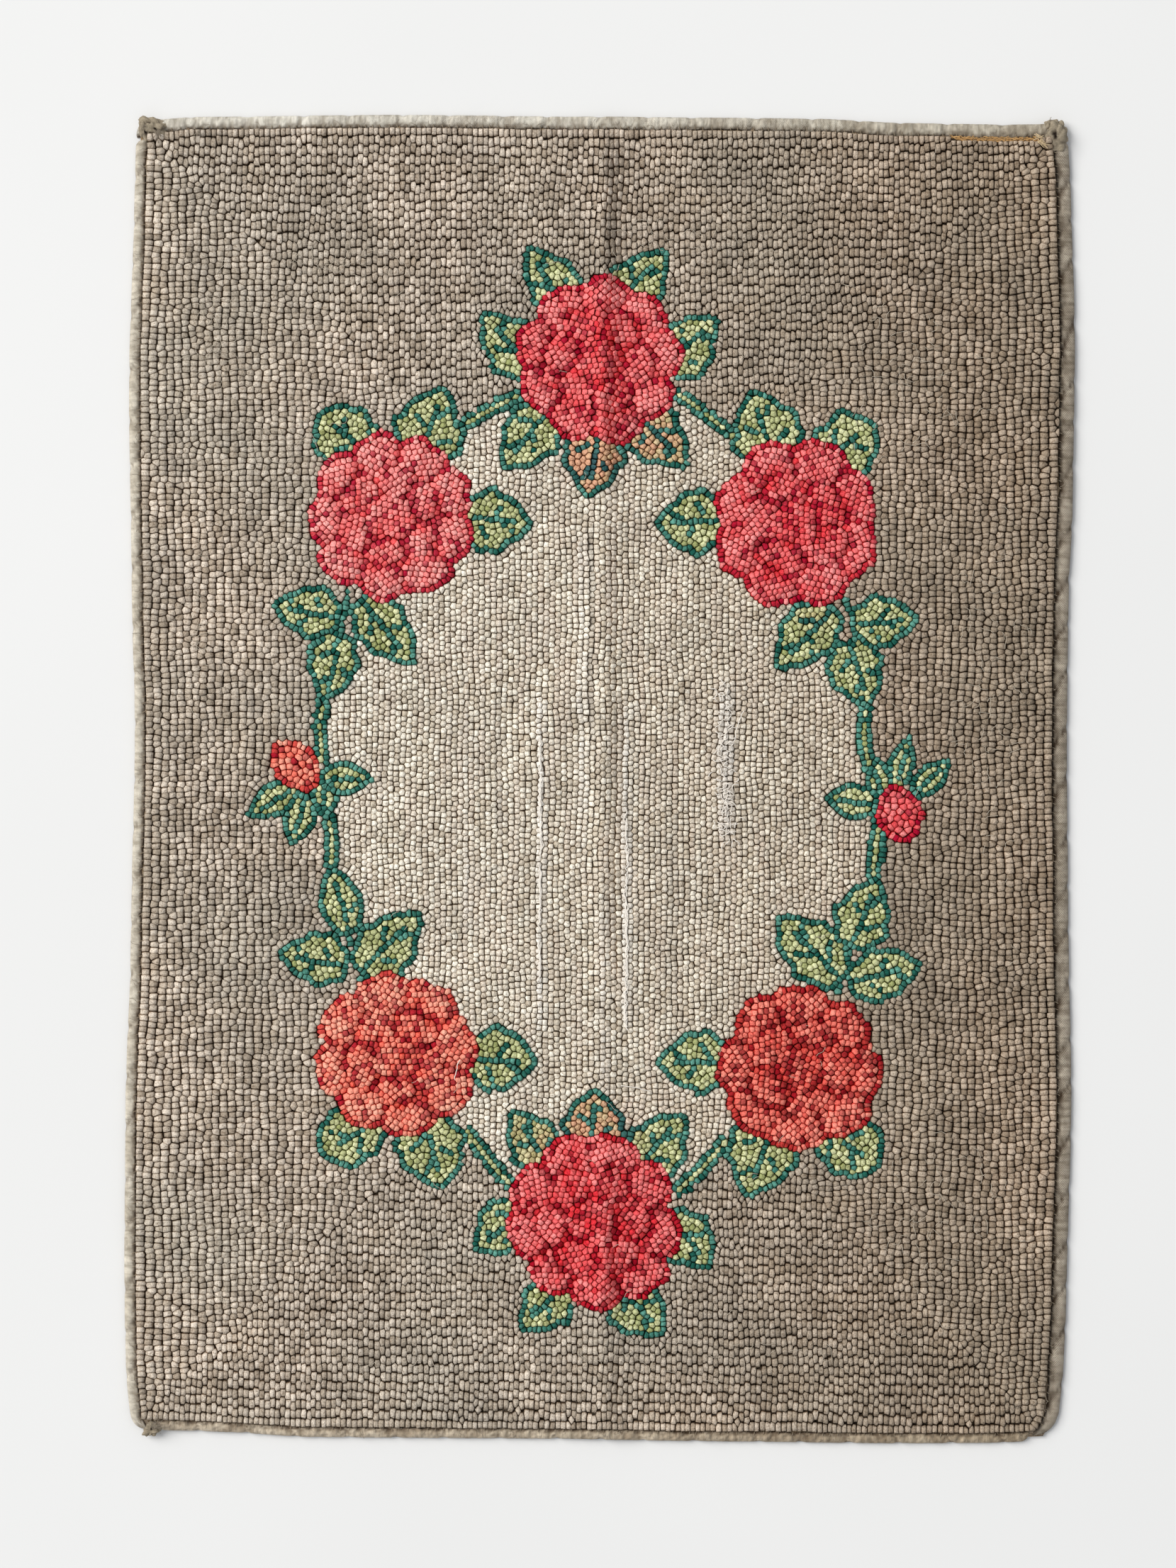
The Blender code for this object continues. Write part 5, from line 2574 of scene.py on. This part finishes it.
# ---- crumpled corners -------------------------------------------------------------------
@dataclass(frozen=True)
class Crumple:
    """One crumpled, felted lump of tape at a corner."""

    name: str
    middle: Colour
    half: Colour
    turn: float
    rough: float
    seed: float
    dents: tuple[tuple[float, float, float], ...] = ()

    def build(self, cloth: bpy.types.Material) -> bpy.types.Object:
        """Model the lump as one closed skin, flat underneath.

        Args:
            cloth: the finish.

        Returns:
            What was made.
        """
        bm = bmesh.new()
        bmesh.ops.create_icosphere(bm, subdivisions=4, radius=1.0)
        shade = bm.verts.layers.float.new("wear_and_shade")
        turned = Matrix.Rotation(self.turn, 3, "Z")
        for vertex in bm.verts:
            way = vertex.co.normalized()
            probe = way * 1.5 + Vector((0.0, 0.0, self.seed))
            fold = abs(noise.noise(probe)) * 1.8 - 0.35
            fine = noise.noise(probe * 3.1)
            size = 1 + self.rough * fold + 0.25 * self.rough * fine
            # Painted shade: paler where the lump bulges, darker where it sinks and darkest in its
            # dents.
            worn = 0.72 + 0.9 * fold
            for dent_x, dent_y, radius in self.dents:
                near = math.hypot(way.x - dent_x, way.y - dent_y) / radius
                if near < 1 and way.z > 0:
                    size *= 1 - 0.72 * (1 - near * near)
                    worn -= 2.2 * (1 - near)
            place = turned @ Vector((way.x * self.half[0] * size, way.y * self.half[1] * size,
                                     0.0))
            height = self.middle[2] + way.z * self.half[2] * size
            vertex.co = (self.middle[0] + place.x, self.middle[1] + place.y,
                         max(height, 0.0003))
            vertex[shade] = min(1.0, max(0.0, worn))
        return piece_from(self.name, smooth_mesh(self.name, bm), cloth)


@dataclass(frozen=True)
class FeltedCloth:
    """Matted grey-brown cotton, with painted shade in its folds and dents."""

    name: str = "matted_cloth"
    pale: Colour = linear(160, 148, 128)
    deep: Colour = linear(50, 40, 32)

    def material(self) -> bpy.types.Material:
        """Build the matted cloth.

        Returns:
            The material.
        """
        nodes = Nodes(self.name)
        _, worn = nodes.attribute("wear_and_shade")
        place = nodes.place()
        # Painted shade from the deep colour in the folds and dents to the pale cloth on the bulges.
        tint = nodes.steps(worn, [(0.0, self.deep), (0.35, blended(self.deep, self.pale, 0.5)),
                                  (0.85, self.pale)])
        fuzz = nodes.steps(nodes.noise(place, 900.0, 4.0, 0.7),
                           [(0.3, (0.70, 0.68, 0.65)), (0.7, (1.15, 1.15, 1.15))])
        colour = nodes.mix("MULTIPLY", tint, fuzz, 1.0)
        nodes.bump(nodes.noise(place, 500.0, 4.0, 0.7), 0.0008, 0.8)
        return nodes.finish(colour, 0.95, 0.05)


CORNERS = (
    Crumple("corner_knot", (0.3420, 0.4815, 0.0055), (0.0078, 0.0108, 0.0060), 0.10, 0.30, 2.3,
            ((-0.34, 0.20, 0.34), (-0.28, -0.22, 0.26))),
    Crumple("corner_knot_tip", (0.3375, 0.4890, 0.0050), (0.0052, 0.0040, 0.0040), 0.4, 0.5,
            5.1, ((0.1, 0.2, 0.3),)),
    Crumple("corner_fold", (-0.3335, 0.4880, 0.0056), (0.0105, 0.0052, 0.0036), -0.55, 0.50,
            7.7, ((-0.5, 0.1, 0.25), (0.35, -0.25, 0.3))),
    Crumple("corner_fold_end", (-0.3405, 0.4855, 0.0050), (0.0042, 0.0075, 0.0038), 0.30,
            0.50, 9.2, ((0.2, -0.4, 0.45),)),
    Crumple("corner_tuft", (-0.3355, -0.4865, 0.0050), (0.0060, 0.0042, 0.0034), 0.6, 0.60,
            11.4, ((0.3, 0.1, 0.4),)),
)


# ---- studio -----------------------------------------------------------------------------
@dataclass
class Studio:
    """Pale floor, soft light from the left and a camera straight overhead."""

    camera_x: float = -0.0087
    camera_y: float = -0.0037
    frame_height: float = 1.172
    lens: float = 85.0
    sensor: float = 36.0
    floor_size: float = 4.0
    floor_drop: float = 0.0003
    pile_top: float = 0.008
    window_place: Colour = (-11.0, 5.6, 12.0)
    window_size: float = 11.5
    window_power: float = 2950.0
    window_tint: Colour = (1.0, 0.99, 0.965)
    room_tint: Colour = (0.93, 0.96, 1.0)
    room_strength: float = 0.50

    def build(self) -> None:
        """Make the floor, the lights and the camera."""
        bm = bmesh.new()
        bmesh.ops.create_grid(bm, x_segments=2, y_segments=2, size=self.floor_size)
        bmesh.ops.translate(bm, vec=(0.0, 0.0, -self.floor_drop), verts=bm.verts)
        mesh = bpy.data.meshes.new("floor")
        bm.to_mesh(mesh)
        bm.free()
        floor = bpy.data.objects.new("floor", mesh)
        bpy.context.scene.collection.objects.link(floor)
        mesh.materials.append(PaleFloor().material())
        self.lamp("window", self.window_place, self.window_size, self.window_power,
                  self.window_tint)
        world = bpy.data.worlds.new("room")
        world.use_nodes = True
        background = world.node_tree.nodes["Background"]
        background.inputs["Color"].default_value = (*self.room_tint, 1.0)
        background.inputs["Strength"].default_value = self.room_strength
        bpy.context.scene.world = world
        bpy.context.scene.view_settings.view_transform = "Standard"
        data = bpy.data.cameras.new("overhead")
        data.lens, data.sensor_width = self.lens, self.sensor
        camera = bpy.data.objects.new("overhead", data)
        bpy.context.scene.collection.objects.link(camera)
        height = self.frame_height * self.lens / self.sensor
        camera.location = (self.camera_x, self.camera_y, height + self.pile_top)
        bpy.context.scene.camera = camera

    def lamp(self, name: str, place: Colour, size: float, power: float, tint: Colour) -> None:
        """One soft square light aimed at the middle of the rug.

        Args:
            name: its name.
            place: where it stands.
            size: its width.
            power: its power.
            tint: its colour.
        """
        data = bpy.data.lights.new(name, "AREA")
        data.shape, data.size, data.energy, data.color = "SQUARE", size, power, tint
        lamp = bpy.data.objects.new(name, data)
        bpy.context.scene.collection.objects.link(lamp)
        lamp.location = place
        lamp.rotation_mode = "QUATERNION"
        lamp.rotation_quaternion = (-Vector(place)).to_track_quat("-Z", "Y")


def main() -> None:
    """Build the rug's pieces in order and report each one."""
    logging.basicConfig(level=logging.INFO, format="%(name)s %(message)s")
    Studio().build()
    shape = RugShape()
    design = Design(shape, DESIGN_STEP)
    layout = LoopLayout(shape, design)
    LOG.info("%d loops placed", len(layout.x))
    plain = LoopWool().material()
    # The rose and leaf loops get painted shade in their own colours at their feet and walls.
    reds = LoopWool("rose_wool", foot=(0.62, 0.12, 0.18), painted_wall_shade=(0.80, 0.40, 0.44)).material()
    greens = LoopWool("leaf_wool", foot=(0.36, 0.34, 0.26), painted_wall_shade=(0.64, 0.66, 0.56)).material()
    loops = LoopPile(shape, layout, {Zone.ROSES: reds, Zone.LEAVES: greens}, plain).build()
    backing = Backing(shape, design).build(Burlap().material())
    soft_tape = TapeCloth("tape_soft", linear(248, 243, 230), linear(186, 174, 156),
                          linear(118, 104, 88), 360.0, 0.10)
    felt_tape = TapeCloth("tape_felted", linear(230, 221, 204), linear(204, 192, 172),
                          linear(124, 110, 94), 400.0, -0.55)
    folded_tape = TapeCloth("tape_folded", linear(236, 220, 196), linear(168, 148, 124),
                            linear(112, 92, 72), 360.0, 0.10)
    twill_tape = TapeCloth("tape_twill", linear(216, 208, 196), linear(166, 156, 142),
                           linear(92, 76, 60), 280.0, 0.75)
    tapes = [
        BindingTape(shape.edges[Edge.TOP], soft_tape, 0.0021, 0.25, 0.0040, 0.0012),
        BindingTape(shape.edges[Edge.BOTTOM], folded_tape, 0.0027, 0.50, 0.0040, 0.0012),
        BindingTape(shape.edges[Edge.LEFT], felt_tape, 0.0014, -0.8, 0.0052),
        BindingTape(shape.edges[Edge.RIGHT], twill_tape, 0.0010, 1.0, 0.0080),
    ]
    pieces = loops + [backing] + [tape.build() for tape in tapes] + Threads(shape).build()
    felted = FeltedCloth().material()
    pieces += [corner.build(felted) for corner in CORNERS]
    for piece in pieces:
        report(piece)


if __name__ == "__main__":
    main()
